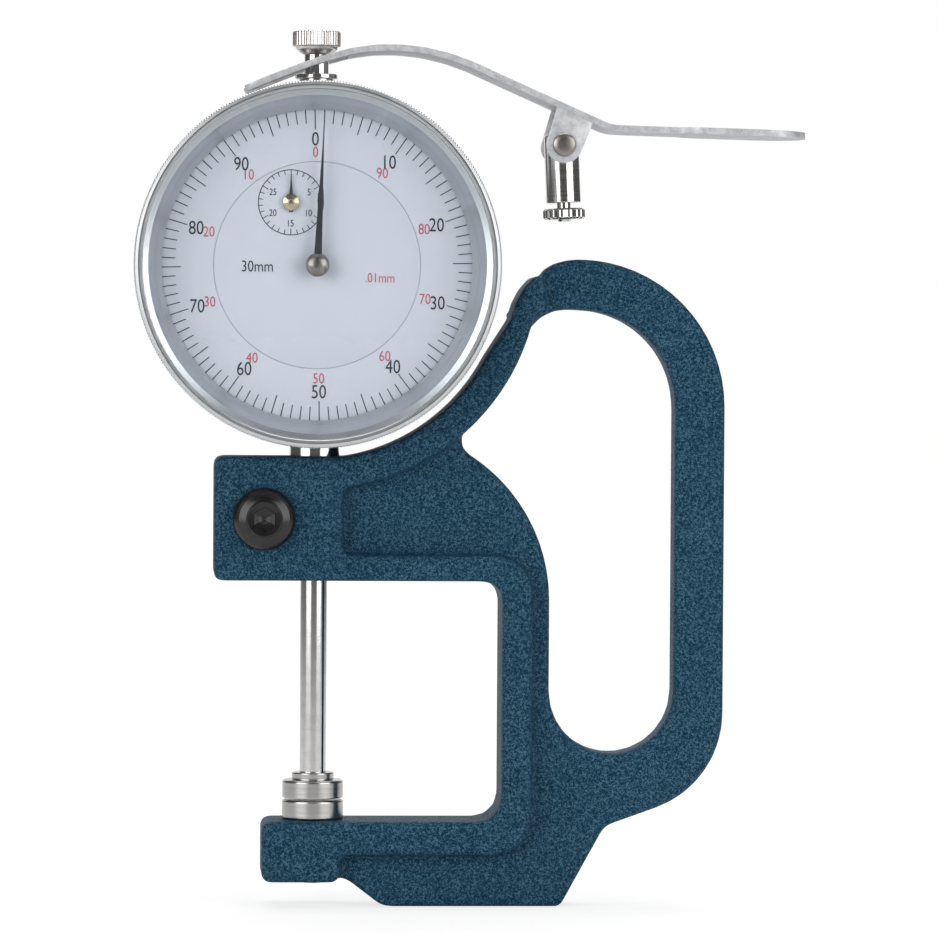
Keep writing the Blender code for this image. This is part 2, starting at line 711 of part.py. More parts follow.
def gear_plate(name, teeth, module, phase, back, front, finish="brass", cutter=False):
    """A toothed plate between two depths, made about the origin."""
    made = plate(
        name, [gear_outline(teeth, module, phase)], front - back, finish=finish, cutter=cutter
    )
    return settle(place(made, y=-(back + front) / 2))


def knurl(piece, name, radius, depth, count, top, bottom, x=0.0, z=0.0, upright=True):
    """Cut evenly spaced grooves into the rim of a turned piece."""
    step = math.tau / count
    outline = []
    for groove in range(count):
        angle = groove * step
        outline.append((radius + OVERRUN, angle - step / 2))
        outline.append((radius, angle - step / 2 * TOOTH_ROOT_SHARE))
        outline.append((radius - depth, angle))
        outline.append((radius, angle + step / 2 * TOOTH_ROOT_SHARE))
    inner = [(r * math.cos(a), r * math.sin(a)) for r, a in outline if r <= radius]
    outer = arc((0.0, 0.0), radius + OVERRUN, 0.0, math.tau)[:-1]
    ring = plate(name, [outer, inner], top - bottom, cutter=True)
    if upright:
        ring.rotation_euler = (-math.pi / 2, 0.0, 0.0)
    bpy.context.view_layer.update()
    settle(ring)
    middle = (top + bottom) / 2
    place(ring, x, 0.0 if upright else -middle, z + middle if upright else z)
    return cut(piece, ring)


# Frame

def dial_arc(radius, start, end):
    """An arc about the dial's centre."""
    return arc((SPINDLE_X, DIAL_Z), radius, start, end)


def rim_outline():
    """Outline of the thick C-shaped rim with the clamp block, the boss and the dial's band."""
    shoulder = (HANDLE_X, SHOULDER_Z)
    start = math.acos((DIAL_Z - ARM_TOP_Z) / DIAL_RECESS_RADIUS) - math.pi / 2
    band_angle = math.acos((BAND_END_X - HANDLE_X) / HANDLE_SHOULDER_RADIUS)
    recess = dial_arc(DIAL_RECESS_RADIUS, start, RECESS_END_ANGLE)
    crown = arc(shoulder, HANDLE_SHOULDER_RADIUS, SHOULDER_START_ANGLE, band_angle)
    corner_x = SPINDLE_X + math.sqrt(BAND_RADIUS**2 - (LOOP_TOP_Z - DIAL_Z) ** 2)
    corner_angle = math.atan2(LOOP_TOP_Z - DIAL_Z, corner_x - SPINDLE_X)
    pocket_angle = -math.acos((POCKET_LEFT_X - SPINDLE_X) / BAND_RADIUS)
    band = dial_arc(BAND_RADIUS, corner_angle, pocket_angle)
    upper_rim_z = ARM_BOTTOM_Z + UPPER_RIM_WIDTH
    side_rim_x = THROAT_WALL_X + SIDE_RIM_WIDTH
    lower_rim_z = LOWER_ARM_Z - LOWER_RIM_WIDTH
    corners = [(BLOCK_LEFT_X, ARM_TOP_Z, BLOCK_CORNER)]
    corners += [(*recess[0], BLOCK_CORNER)]
    corners += along(recess[1:-1])
    corners += along(crown[:-1])
    corners += [(*crown[-1], BLOCK_CORNER)]
    corners += [(BAND_END_X, LOOP_TOP_Z, BLOCK_CORNER / 2)]
    corners += [(*band[0], LOOP_CORNER / 4)]
    corners += along(band[1:-1])
    corners += [(*band[-1], POCKET_CORNER)]
    corners += [
        (POCKET_LEFT_X, upper_rim_z, POCKET_CORNER),
        (side_rim_x, upper_rim_z, RIM_OUTER_CORNER),
        (side_rim_x, lower_rim_z, RIM_OUTER_CORNER),
        (BOSS_RIGHT_X, lower_rim_z, POCKET_CORNER),
        (BOSS_RIGHT_X, BOSS_BOTTOM_Z, BLOCK_CORNER),
        (BOSS_LEFT_X, BOSS_BOTTOM_Z, BLOCK_CORNER),
        (BOSS_LEFT_X, LOWER_ARM_Z, BLOCK_CORNER),
        (THROAT_WALL_X, LOWER_ARM_Z, LOWER_THROAT_CORNER),
        (THROAT_WALL_X, ARM_BOTTOM_Z, UPPER_THROAT_CORNER),
        (BLOCK_LEFT_X, ARM_BOTTOM_Z, BLOCK_CORNER),
    ]
    return rounded(corners)


def web_outline():
    """Outline of the thinner web, foot and handle; inside the rim it runs inset."""
    inner_band = (DIAL_RECESS_RADIUS + BAND_RADIUS) / 2
    shoulder = (HANDLE_X, SHOULDER_Z)
    band_angle = math.acos((BAND_END_X - HANDLE_X) / HANDLE_SHOULDER_RADIUS)
    low_angle = -math.acos(FLUSH_INSET / inner_band)
    lead = arc(shoulder, HANDLE_SHOULDER_RADIUS - FLUSH_INSET, band_angle, band_angle)[:1]
    shoulder_arc = arc(shoulder, HANDLE_SHOULDER_RADIUS, band_angle, math.pi / 2)
    throat_x = THROAT_WALL_X + FILL_INSET
    arm_z = ARM_BOTTOM_Z + FILL_INSET
    lower_z = LOWER_ARM_Z - FILL_INSET
    boss_x = BOSS_RIGHT_X - FILL_INSET
    corners = along(dial_arc(inner_band, low_angle, WEB_LEAD_ANGLE))
    corners += along(lead)
    corners += along(shoulder_arc[1:-1])
    corners += along(arc((HANDLE_X, HANDLE_Z), HANDLE_RADIUS, math.pi / 2, 0.0))
    corners += along(arc((HEEL_X, HEEL_Z), HEEL_RADIUS, 0.0, HEEL_END_ANGLE))
    corners += [
        (FOOT_FLANK_X, FOOT_FLANK_Z, FOOT_FLANK_CORNER),
        (FOOT_RIGHT_X, 0.0, FOOT_CORNER),
        (FOOT_LEFT_X, 0.0, FOOT_RISE_CORNER),
        (FOOT_LEFT_X - FOOT_RISE_RUN, FOOT_RISE, FOOT_RISE_CORNER),
        (boss_x, BOSS_BOTTOM_Z + BOSS_FILL_RISE, 0.0),
        (boss_x, lower_z, BLOCK_CORNER),
        (throat_x, lower_z, BLOCK_CORNER),
        (throat_x, arm_z, BLOCK_CORNER),
        (SPINDLE_X, arm_z, BLOCK_CORNER),
    ]
    return rounded(corners)


def loop_outline():
    """Outline of the opening inside the handle loop."""
    dial = (SPINDLE_X, DIAL_Z)
    radius = BAND_RADIUS - FLUSH_INSET
    web_centre = (LOOP_LEFT_X - WEB_EDGE_RADIUS, WEB_EDGE_Z)
    top_z = LOOP_TOP_Z + FLUSH_INSET
    corner_x = SPINDLE_X + math.sqrt(radius**2 - (top_z - DIAL_Z) ** 2)
    corner_angle = math.atan2(top_z - DIAL_Z, corner_x - SPINDLE_X)
    notch = circle_angle(dial, radius, web_centre, WEB_EDGE_RADIUS, 1)
    web_start = circle_angle(web_centre, WEB_EDGE_RADIUS, dial, radius, -1)
    band = dial_arc(radius, corner_angle, notch)
    web_edge = arc(web_centre, WEB_EDGE_RADIUS, web_start, 0.0)
    bottom = arc((LOOP_BOTTOM_X, LOOP_BOTTOM_Z), LOOP_BOTTOM_RADIUS, -math.pi, 0.0)
    crown = arc((HANDLE_X, HANDLE_Z), LOOP_RADIUS, 0.0, math.pi / 2)
    corners = [(*band[0], LOOP_CORNER)]
    corners += along(band[1:-1])
    corners += [(*band[-1], NOTCH_RADIUS)]
    corners += along(web_edge[1:])
    corners += along(bottom)
    corners += along(crown)
    return rounded(corners)


def build_frame():
    """The cast frame: rim and web united, with the stem's bore, the slit and the holes."""
    frame = plate("frame", [rim_outline()], RIM_THICKNESS, EDGE_ROUND, "paint")
    web = plate("web", [web_outline(), loop_outline()], WEB_THICKNESS, EDGE_ROUND, cutter=True)
    join(frame, web)
    bore = drill("bore", STEM_RADIUS + FIT_GAP, ARM_BOTTOM_Z - OVERRUN, ARM_TOP_Z + OVERRUN, ROUND_STEP_COUNT)
    cut(frame, on_spindle(bore))
    slit = block(
        "slit",
        (BLOCK_LEFT_X - OVERRUN, -SLIT_WIDTH / 2, ARM_BOTTOM_Z - OVERRUN),
        (SPINDLE_X, SLIT_WIDTH / 2, ARM_TOP_Z + OVERRUN),
        cutter=True,
    )
    cut(frame, slit)
    reach = FRAME_FRONT + OVERRUN
    screw_hole = drill("screw_hole", CLAMP_SHANK_RADIUS + FIT_GAP, -reach, reach)
    cut(frame, face_front(screw_hole, CLAMP_X, CLAMP_Z))
    anvil_hole = drill(
        "anvil_hole", ANVIL_SHANK_RADIUS + FIT_GAP, BOSS_BOTTOM_Z - OVERRUN, LOWER_ARM_Z + OVERRUN
    )
    cut(frame, on_spindle(anvil_hole))
    return frame


def build_clamp_screw():
    """Button-head socket screw that closes the slit on the stem."""
    seat = FRAME_FRONT + SEAT_GAP
    crown = seat + CLAMP_HEAD_HEIGHT
    shoulder = seat + CLAMP_HEAD_HEIGHT / 3
    middle = (CLAMP_RING_RADIUS + CLAMP_HEAD_RADIUS) / 2
    profile = [
        (0.0, crown),
        (CLAMP_RING_RADIUS, crown),
        (middle, crown - CLAMP_HEAD_HEIGHT / 6),
        (CLAMP_HEAD_RADIUS, shoulder),
        (CLAMP_HEAD_RADIUS, seat),
        (CLAMP_SHANK_RADIUS, seat),
        (CLAMP_SHANK_RADIUS, seat - CLAMP_SHANK_LENGTH),
        (0.0, seat - CLAMP_SHANK_LENGTH),
    ]
    screw = turned("clamp_screw", profile, "black_oxide", SMALL_ROUND_STEP_COUNT)
    hex_radius = CLAMP_HEX_FLATS / math.sqrt(3)
    socket = drill("hex", hex_radius, crown - CLAMP_HEX_DEPTH, crown + OVERRUN, steps=CLAMP_HEX_SIDE_COUNT)
    cut(screw, socket)
    return face_front(screw, CLAMP_X, CLAMP_Z)


def build_anvil():
    """Flat anvil with a shank that ends in a low dome under the boss."""
    tail = BOSS_BOTTOM_Z - ANVIL_TAIL
    profile = [
        (0.0, ANVIL_TOP_Z),
        (ANVIL_RADIUS - ANVIL_EDGE, ANVIL_TOP_Z),
        (ANVIL_RADIUS, ANVIL_TOP_Z - ANVIL_EDGE),
        (ANVIL_RADIUS, ANVIL_BASE_Z),
        (ANVIL_SHANK_RADIUS, ANVIL_BASE_Z),
        (ANVIL_SHANK_RADIUS, BOSS_BOTTOM_Z),
        (ANVIL_SHANK_RADIUS * math.cos(math.pi / 4), tail + ANVIL_TAIL / 4),
        (0.0, tail),
    ]
    return on_spindle(turned("anvil", profile, "steel"))


# Case

def build_case():
    """Case ring with a spigot for the bezel, a rear flange and holes for stem and bush."""
    spigot = CASE_FRONT + CASE_SPIGOT_LENGTH
    profile = [
        (CASE_BORE_RADIUS, spigot),
        (CASE_SPIGOT_RADIUS, spigot),
        (CASE_SPIGOT_RADIUS, CASE_FRONT),
        (CASE_RADIUS, CASE_FRONT),
        (CASE_RADIUS, CASE_BACK_ROUND - CASE_BACK),
        (CASE_RADIUS - CASE_BACK_ROUND, -CASE_BACK),
        (CASE_FLANGE_BORE, -CASE_BACK),
        (CASE_FLANGE_BORE, CASE_FLANGE_THICKNESS - CASE_BACK),
        (CASE_BORE_RADIUS, CASE_FLANGE_THICKNESS - CASE_BACK),
    ]
    case = on_dial(turned("case_body", profile, "satin_alloy", 2 * ROUND_STEP_COUNT))
    settle(case)
    lower = drill("stem_hole", STEM_RADIUS + FIT_GAP, CASE_BOTTOM_Z - OVERRUN, DIAL_Z, ROUND_STEP_COUNT)
    upper = drill("bush_hole", BUSH_WALL_RADIUS + FIT_GAP, DIAL_Z, CASE_TOP_Z + OVERRUN)
    cut(case, on_spindle(lower), on_spindle(upper))
    for index in range(COVER_SCREW_COUNT):
        x, z = on_circle(COVER_SCREW_CIRCLE, index, COVER_SCREW_COUNT)
        hole = drill(
            "hole", COVER_SCREW_SHANK_RADIUS + FIT_GAP, -CASE_BACK - OVERRUN, OVERRUN - CASE_BACK
        )
        cut(case, on_dial(hole, x, z))
    return case


def on_circle(radius, index, count, start=math.pi / 4):
    """Place of one of several points spread evenly on a circle."""
    angle = start + index * math.tau / count
    return radius * math.cos(angle), radius * math.sin(angle)


def build_cover():
    """Domed-edge back cover with a spigot inside the case's flange."""
    seat = -CASE_BACK - SEAT_GAP
    outside = seat - COVER_THICKNESS
    spigot = CASE_FLANGE_THICKNESS - CASE_BACK
    profile = [
        (0.0, spigot),
        (COVER_SPIGOT_RADIUS, spigot),
        (COVER_SPIGOT_RADIUS, seat),
        (COVER_RADIUS, seat),
        (COVER_RADIUS, outside + COVER_EDGE),
        (COVER_RADIUS - COVER_EDGE, outside),
        (0.0, outside),
    ]
    cover = settle(on_dial(turned("back_cover", profile, "satin_alloy")))
    for index in range(COVER_SCREW_COUNT):
        x, z = on_circle(COVER_SCREW_CIRCLE, index, COVER_SCREW_COUNT)
        hole = drill(
            "hole", COVER_SCREW_SHANK_RADIUS + FIT_GAP, outside - OVERRUN, seat + OVERRUN
        )
        cut(cover, on_dial(hole, x, z))
    return cover


def build_cover_screws():
    """Slotted screws that hold the back cover."""
    seat = -CASE_BACK - 2 * SEAT_GAP - COVER_THICKNESS
    end = seat - COVER_SCREW_HEAD_HEIGHT
    profile = [
        (0.0, CASE_FLANGE_THICKNESS - CASE_BACK),
        (COVER_SCREW_SHANK_RADIUS, CASE_FLANGE_THICKNESS - CASE_BACK),
        (COVER_SCREW_SHANK_RADIUS, seat),
        (COVER_SCREW_HEAD_RADIUS, seat),
        (COVER_SCREW_HEAD_RADIUS, end + COVER_SCREW_HEAD_HEIGHT / 3),
        (COVER_SCREW_HEAD_RADIUS * math.cos(math.pi / 6), end),
        (0.0, end),
    ]
    for index in range(COVER_SCREW_COUNT):
        x, z = on_circle(COVER_SCREW_CIRCLE, index, COVER_SCREW_COUNT)
        screw = turned(f"cover_screw_{index + 1}", profile, "steel", SMALL_ROUND_STEP_COUNT)
        slot = block(
            "slot",
            (-COVER_SCREW_HEAD_RADIUS - OVERRUN, -COVER_SCREW_SLOT_WIDTH / 2, end - OVERRUN),
            (COVER_SCREW_HEAD_RADIUS + OVERRUN, COVER_SCREW_SLOT_WIDTH / 2, end + COVER_SCREW_SLOT_DEPTH),
            cutter=True,
        )
        cut(screw, slot)
        on_dial(screw, x, z)


def build_stem():
    """Stem tube from the case down through the clamp."""
    profile = tube_profile(STEM_RADIUS, SPINDLE_RADIUS + FIT_GAP, STEM_TOP_Z, STEM_BASE_Z)
    return on_spindle(turned("stem", profile, "steel"))


def build_bush():
    """Upper bush that guides the spindle out of the case."""
    bore = RACK_ROD_RADIUS + FIT_GAP
    seat = CASE_TOP_Z + SEAT_GAP
    profile = [
        (bore, BUSH_TOP_Z),
        (BUSH_RADIUS, BUSH_TOP_Z),
        (BUSH_RADIUS, seat),
        (BUSH_WALL_RADIUS, seat),
        (BUSH_WALL_RADIUS, BUSH_BASE_Z),
        (bore, BUSH_BASE_Z),
    ]
    return on_spindle(turned("top_bush", profile, "steel", SMALL_ROUND_STEP_COUNT))


# Bezel and dial

def build_bezel():
    """Turning bezel with a knurled edge, a seat for the crystal and a sloping inner wall."""
    skirt_bore = CASE_SPIGOT_RADIUS + FIT_GAP
    grip_top = BEZEL_FACE - BEZEL_RIM_ROUND
    seat = CRYSTAL_BACK - SEAT_GAP
    profile = [
        (BEZEL_RIM_RADIUS, BEZEL_FACE - BEZEL_RIM_ROUND / 3),
        (BEZEL_RIM_RADIUS + BEZEL_RIM_ROUND / 3, BEZEL_FACE),
        (BEZEL_RADIUS - BEZEL_RIM_ROUND / 2, BEZEL_FACE - BEZEL_RIM_ROUND / 4),
        (BEZEL_RADIUS, grip_top),
        (BEZEL_RADIUS, BEZEL_BACK + BEZEL_BACK_CHAMFER),
        (BEZEL_RADIUS - BEZEL_BACK_CHAMFER, BEZEL_BACK),
        (skirt_bore, BEZEL_BACK),
        (skirt_bore, BEZEL_FLANGE_BACK),
        (DIAL_OPENING_RADIUS, BEZEL_FLANGE_BACK),
        (DIAL_OPENING_RADIUS, BEZEL_FLANGE_FRONT),
        (BEZEL_RIM_RADIUS - CRYSTAL_SEAT, seat),
        (BEZEL_RIM_RADIUS, seat),
    ]
    bezel = settle(on_dial(turned("bezel", profile, "bezel_grey", BEZEL_FACET_COUNT)))
    return bezel


def build_crystal():
    """Slightly domed crystal that fills the bezel's seat."""
    radius = BEZEL_RIM_RADIUS - FIT_GAP
    edge_front = CRYSTAL_BACK + CRYSTAL_THICKNESS - CRYSTAL_DOME
    profile = [(0.0, CRYSTAL_BACK + CRYSTAL_THICKNESS)]
    for share in (0.5, 0.8, 1.0):
        profile.append((radius * share, edge_front + CRYSTAL_DOME * (1 - share**2)))
    profile += [(radius, CRYSTAL_BACK), (0.0, CRYSTAL_BACK)]
    return on_dial(turned("crystal", profile, "crystal"))


def build_dial():
    """Outer dial ring, which turns with the bezel, and the fixed dial centre."""
    ring_bore = DIAL_CENTRE_RADIUS + SEAT_GAP
    ring_profile = tube_profile(DIAL_RING_RADIUS, ring_bore, DIAL_FRONT, DIAL_BACK)
    on_dial(turned("dial_ring", ring_profile, "dial_white", 2 * ROUND_STEP_COUNT))
    centre_bore = FINE_ARBOR_RADIUS + FIT_GAP
    centre_profile = tube_profile(DIAL_CENTRE_RADIUS, centre_bore, DIAL_FRONT, DIAL_BACK)
    centre = on_dial(turned("dial_centre", centre_profile, "dial_white", 2 * ROUND_STEP_COUNT))
    settle(centre)
    hole = drill("hole", FINE_ARBOR_RADIUS + FIT_GAP, DIAL_BACK - OVERRUN, DIAL_FRONT + OVERRUN)
    cut(centre, on_dial(hole, COUNTER_X, COUNTER_Z))


# Spindle

def rack_cutter():
    """Cutter for the rack: a flat along the rod with the gaps between the teeth."""
    tooth_tip = RACK_LINE + RACK_MODULE * ADDENDUM_SHARE
    tooth_root = RACK_LINE - RACK_MODULE * DEDENDUM_SHARE
    low = ARBOR_Z - TRAVEL - RACK_SPARE_TOOTH_COUNT * RACK_PITCH
    gaps = round(TRAVEL / RACK_PITCH) + 2 * RACK_SPARE_TOOTH_COUNT + 1
    root_half = (0.5 - TOOTH_ROOT_SHARE) * RACK_PITCH
    tip_half = (0.5 - TOOTH_TIP_SHARE) * RACK_PITCH
    edge = RACK_ROD_RADIUS + OVERRUN
    outline = [(-edge, low - RACK_PITCH)]
    outline.append((-tooth_tip, low - RACK_PITCH))
    for gap in range(gaps):
        height = low + gap * RACK_PITCH
        outline.append((-tooth_tip, height - tip_half))
        outline.append((-tooth_root, height - root_half))
        outline.append((-tooth_root, height + root_half))
        outline.append((-tooth_tip, height + tip_half))
    high = low + gaps * RACK_PITCH
    outline.append((-tooth_tip, high))
    outline.append((-edge, high))
    return plate("rack_gaps", [outline], 2 * edge, cutter=True)


def build_spindle():
    """Spindle: thick lower rod for the stem, thinner upper rod with the rack."""
    profile = [
        (0.0, SPINDLE_TOP_Z),
        (RACK_ROD_RADIUS, SPINDLE_TOP_Z),
        (RACK_ROD_RADIUS, ROD_SHOULDER_Z),
        (SPINDLE_RADIUS, ROD_SHOULDER_Z),
        (SPINDLE_RADIUS, SPINDLE_BASE_Z),
        (0.0, SPINDLE_BASE_Z),
    ]
    spindle = settle(on_spindle(turned("spindle", profile, "steel", SMALL_ROUND_STEP_COUNT)))
    cutter = rack_cutter()
    cutter.location = (SPINDLE_X, 0.0, DIAL_Z)
    bpy.context.view_layer.update()
    cut(spindle, cutter)
    stud_hole = drill(
        "hole",
        CONTACT_STUD_RADIUS + FIT_GAP,
        SPINDLE_BASE_Z - OVERRUN,
        SPINDLE_BASE_Z + CONTACT_STUD_LENGTH + SEAT_GAP,
    )
    knob_hole = drill(
        "hole",
        KNOB_STUD_RADIUS + FIT_GAP,
        SPINDLE_TOP_Z - KNOB_STUD_LENGTH - SEAT_GAP,
        SPINDLE_TOP_Z + OVERRUN,
    )
    cut(spindle, on_spindle(stud_hole), on_spindle(knob_hole))
    pin_hole = drill("hole", GUIDE_PIN_RADIUS + FIT_GAP, -GUIDE_PIN_SOCKET / 2, RACK_ROD_RADIUS + OVERRUN)
    pin_hole.rotation_euler = (0.0, math.pi / 2, 0.0)
    cut(spindle, place(pin_hole, SPINDLE_X, 0.0, DIAL_Z - GUIDE_PIN_DROP))
    return spindle


def build_contact():
    """Flat contact with a hub and a stud in the spindle's end."""
    hub_base = CONTACT_BASE_Z + CONTACT_HEIGHT
    profile = [
        (0.0, SPINDLE_BASE_Z + CONTACT_STUD_LENGTH),
        (CONTACT_STUD_RADIUS, SPINDLE_BASE_Z + CONTACT_STUD_LENGTH),
        (CONTACT_STUD_RADIUS, CONTACT_TOP_Z),
        (CONTACT_HUB_RADIUS, CONTACT_TOP_Z),
        (CONTACT_HUB_RADIUS, hub_base),
        (CONTACT_RADIUS - CONTACT_EDGE, hub_base),
        (CONTACT_RADIUS, hub_base - CONTACT_EDGE),
        (CONTACT_RADIUS, CONTACT_BASE_Z + CONTACT_EDGE / 3),
        (CONTACT_RADIUS - CONTACT_EDGE / 3, CONTACT_BASE_Z),
        (0.0, CONTACT_BASE_Z),
    ]
    return on_spindle(turned("contact", profile, "steel"))


def build_knob():
    """Lifting knob: a knurled rim over a cone, with a stud in the spindle's top."""
    rim_base = KNOB_TOP_Z - KNOB_RIM_HEIGHT
    stud_end = SPINDLE_TOP_Z - KNOB_STUD_LENGTH
    profile = [
        (0.0, KNOB_TOP_Z),
        (KNOB_RADIUS - KNOB_RIM_EDGE, KNOB_TOP_Z),
        (KNOB_RADIUS, KNOB_TOP_Z - KNOB_RIM_EDGE),
        (KNOB_RADIUS, rim_base + KNOB_RIM_EDGE),
        (KNOB_RADIUS - KNOB_RIM_EDGE, rim_base),
        ((KNOB_RADIUS + RACK_ROD_RADIUS) / 2, rim_base - KNOB_CONE_HEIGHT / 3),
        (RACK_ROD_RADIUS, KNOB_BASE_Z),
        (KNOB_STUD_RADIUS, KNOB_BASE_Z),
        (KNOB_STUD_RADIUS, stud_end),
        (0.0, stud_end),
    ]
    knob = settle(on_spindle(turned("lift_knob", profile, "chrome")))
    return knurl(
        knob, "knob_knurl", KNOB_RADIUS, KNOB_GROOVE_DEPTH, KNOB_GROOVE_COUNT,
        KNOB_TOP_Z + OVERRUN, rim_base, SPINDLE_X,
    )


def build_guide():
    """Guide pin on the spindle and the slotted rail that stops it turning."""
    pin_z = DIAL_Z - GUIDE_PIN_DROP
    pin = turned(
        "guide_pin",
        rod_profile(GUIDE_PIN_RADIUS, GUIDE_PIN_REACH, SEAT_GAP),
        "steel",
        SMALL_ROUND_STEP_COUNT // 2,
    )
    pin.rotation_euler = (0.0, math.pi / 2, 0.0)
    place(pin, SPINDLE_X, 0.0, pin_z)
    low = pin_z - GUIDE_RAIL_MARGIN
    high = pin_z + TRAVEL + GUIDE_RAIL_MARGIN
    rail = block(
        "guide_rail",
        (SPINDLE_X + GUIDE_RAIL_INNER, -PLATE_BACK + SEAT_GAP, low),
        (SPINDLE_X + GUIDE_RAIL_OUTER, GUIDE_RAIL_HALF_WIDTH, high),
    )
    slot = block(
        "slot",
        (SPINDLE_X, -GUIDE_RAIL_SLOT_HALF_WIDTH, pin_z - GUIDE_RAIL_MARGIN / 2),
        (SPINDLE_X + GUIDE_RAIL_OUTER + OVERRUN, GUIDE_RAIL_SLOT_HALF_WIDTH, high - GUIDE_RAIL_MARGIN / 2),
        cutter=True,
    )
    cut(rail, slot)


def coil_points(radius, turns, length, points_per_turn):
    """Points of a helix about Z."""
    count = turns * points_per_turn
    made = []
    for step in range(count + 1):
        angle = math.tau * step / points_per_turn
        made.append((radius * math.cos(angle), radius * math.sin(angle), length * step / count))
    return made


def spiral_points(inner, outer, turns, points_per_turn):
    """Points of a flat spiral about Z."""
    count = turns * points_per_turn
    made = []
    for step in range(count + 1):
        angle = math.tau * step / points_per_turn
        radius = inner + (outer - inner) * step / count
        made.append((radius * math.cos(angle), radius * math.sin(angle), 0.0))
    return made


def wire(name, points, radius, finish="steel"):
    """A wire of round section along the points."""
    curve = bpy.data.curves.new(name, "CURVE")
    curve.dimensions = "3D"
    curve.bevel_depth = radius
    curve.bevel_resolution = 0
    curve.use_fill_caps = True
    spline = curve.splines.new("POLY")
    spline.points.add(len(points) - 1)
    for point, place_of in zip(spline.points, points):
        point.co = (*place_of, 1.0)
    guide = bpy.data.objects.new(name + "_route", curve)
    bpy.data.collections[CUTTERS].objects.link(guide)
    bpy.context.view_layer.update()
    graph = bpy.context.evaluated_depsgraph_get()
    mesh = bpy.data.meshes.new_from_object(guide.evaluated_get(graph))
    bpy.data.objects.remove(guide, do_unlink=True)
    bpy.data.curves.remove(curve)
    weld(mesh)
    mesh.materials.clear()
    return bake(add_object(name, mesh, finish))


def build_return_spring():
    """Tension spring from the guide pin down to its post on the main plate."""
    pin_z = DIAL_Z - GUIDE_PIN_DROP
    x = SPINDLE_X + GUIDE_PIN_REACH + SEAT_GAP + SPRING_COIL_RADIUS + SPRING_WIRE_RADIUS
    top = pin_z - SPRING_WIRE_RADIUS
    base = top - SPRING_REST_LENGTH
    points = coil_points(SPRING_COIL_RADIUS, SPRING_TURN_COUNT, SPRING_REST_LENGTH, SPRING_POINT_COUNT)
    spring = wire("return_spring", points, SPRING_WIRE_RADIUS)
    place(spring, x, 0.0, base)
    post = turned(
        "spring_post",
        rod_profile(SPRING_POST_RADIUS, PLATE_BACK - SEAT_GAP, -SPRING_COIL_RADIUS),
        "steel",
        SMALL_ROUND_STEP_COUNT // 2,
    )
    face_front(post, x, base - SPRING_WIRE_RADIUS - SEAT_GAP - SPRING_POST_RADIUS)


# Movement

def build_plates():
    """Main plate on four pillars and the bridge that carries the front pivots."""
    plate_piece = on_dial(
        turned("main_plate", rod_profile(MAIN_PLATE_RADIUS, PLATE_FRONT, PLATE_BACK), "brass")
    )
    settle(plate_piece)
    axes = (
        (0.0, 0.0, FINE_ARBOR_RADIUS),
        (ARBOR_X, ARBOR_Z, ARBOR_RADIUS),
        (TAKE_UP_X, TAKE_UP_Z, ARBOR_RADIUS),
    )
    for x, z, radius in axes:
        hole = drill("hole", radius + FIT_GAP, PLATE_BACK - OVERRUN, PLATE_FRONT + OVERRUN)
        cut(plate_piece, on_dial(hole, x, z))
    for index in range(PILLAR_COUNT):
        x, z = on_circle(PILLAR_CIRCLE, index, PILLAR_COUNT)
        base = CASE_FLANGE_THICKNESS - CASE_BACK + SEAT_GAP
        profile = rod_profile(PILLAR_RADIUS, PLATE_BACK - SEAT_GAP, base)
        on_dial(turned(f"plate_pillar_{index + 1}", profile, "brass", SMALL_ROUND_STEP_COUNT // 2), x, z)
    bridge = on_dial(
        turned("movement_bridge", rod_profile(BRIDGE_RADIUS, BRIDGE_FRONT, BRIDGE_BACK), "brass")
    )
    settle(bridge)
    for index in range(BRIDGE_LEG_COUNT):
        x, z = on_circle(BRIDGE_LEG_CIRCLE, index, BRIDGE_LEG_COUNT, BRIDGE_LEG_ANGLE)
        middle = (BRIDGE_BACK + BRIDGE_FRONT) / 2
        profile = rod_profile(BRIDGE_LEG_RADIUS, middle, PLATE_FRONT + SEAT_GAP)
        leg = on_dial(turned("leg", profile, steps=SMALL_ROUND_STEP_COUNT // 2, cutter=True), x, z)
        join(bridge, leg)
    for x, z, radius in (*axes, (COUNTER_X, COUNTER_Z, FINE_ARBOR_RADIUS)):
        hole = drill("hole", radius + FIT_GAP, BRIDGE_BACK - OVERRUN, BRIDGE_FRONT + OVERRUN)
        cut(bridge, on_dial(hole, x, z))


def arbor(name, radius, front, back, toothings, finish="steel"):
    """An arbor with toothed sections, each (teeth, module, phase, back, front)."""
    made = face_front(turned(name, rod_profile(radius, front, back), finish, SMALL_ROUND_STEP_COUNT // 2))
    settle(made)
    for teeth, module, phase, low, high in toothings:
        join(made, gear_plate(name + "_teeth", teeth, module, phase, low, high, cutter=True))
    return made


def wheel_on(name, teeth, module, phase, back, front, bore):
    """A toothed wheel with a bore that fits its arbor."""
    made = gear_plate(name, teeth, module, phase, back, front)
    hole = drill("hole", bore + FIT_GAP, back - OVERRUN, front + OVERRUN, SMALL_ROUND_STEP_COUNT // 2)
    return cut(made, face_front(hole))


def put_on_dial(piece, x=0.0, z=0.0):
    """Move a piece made about the origin to an axis given from the dial's centre."""
    return place(piece, SPINDLE_X + x, 0.0, DIAL_Z + z)


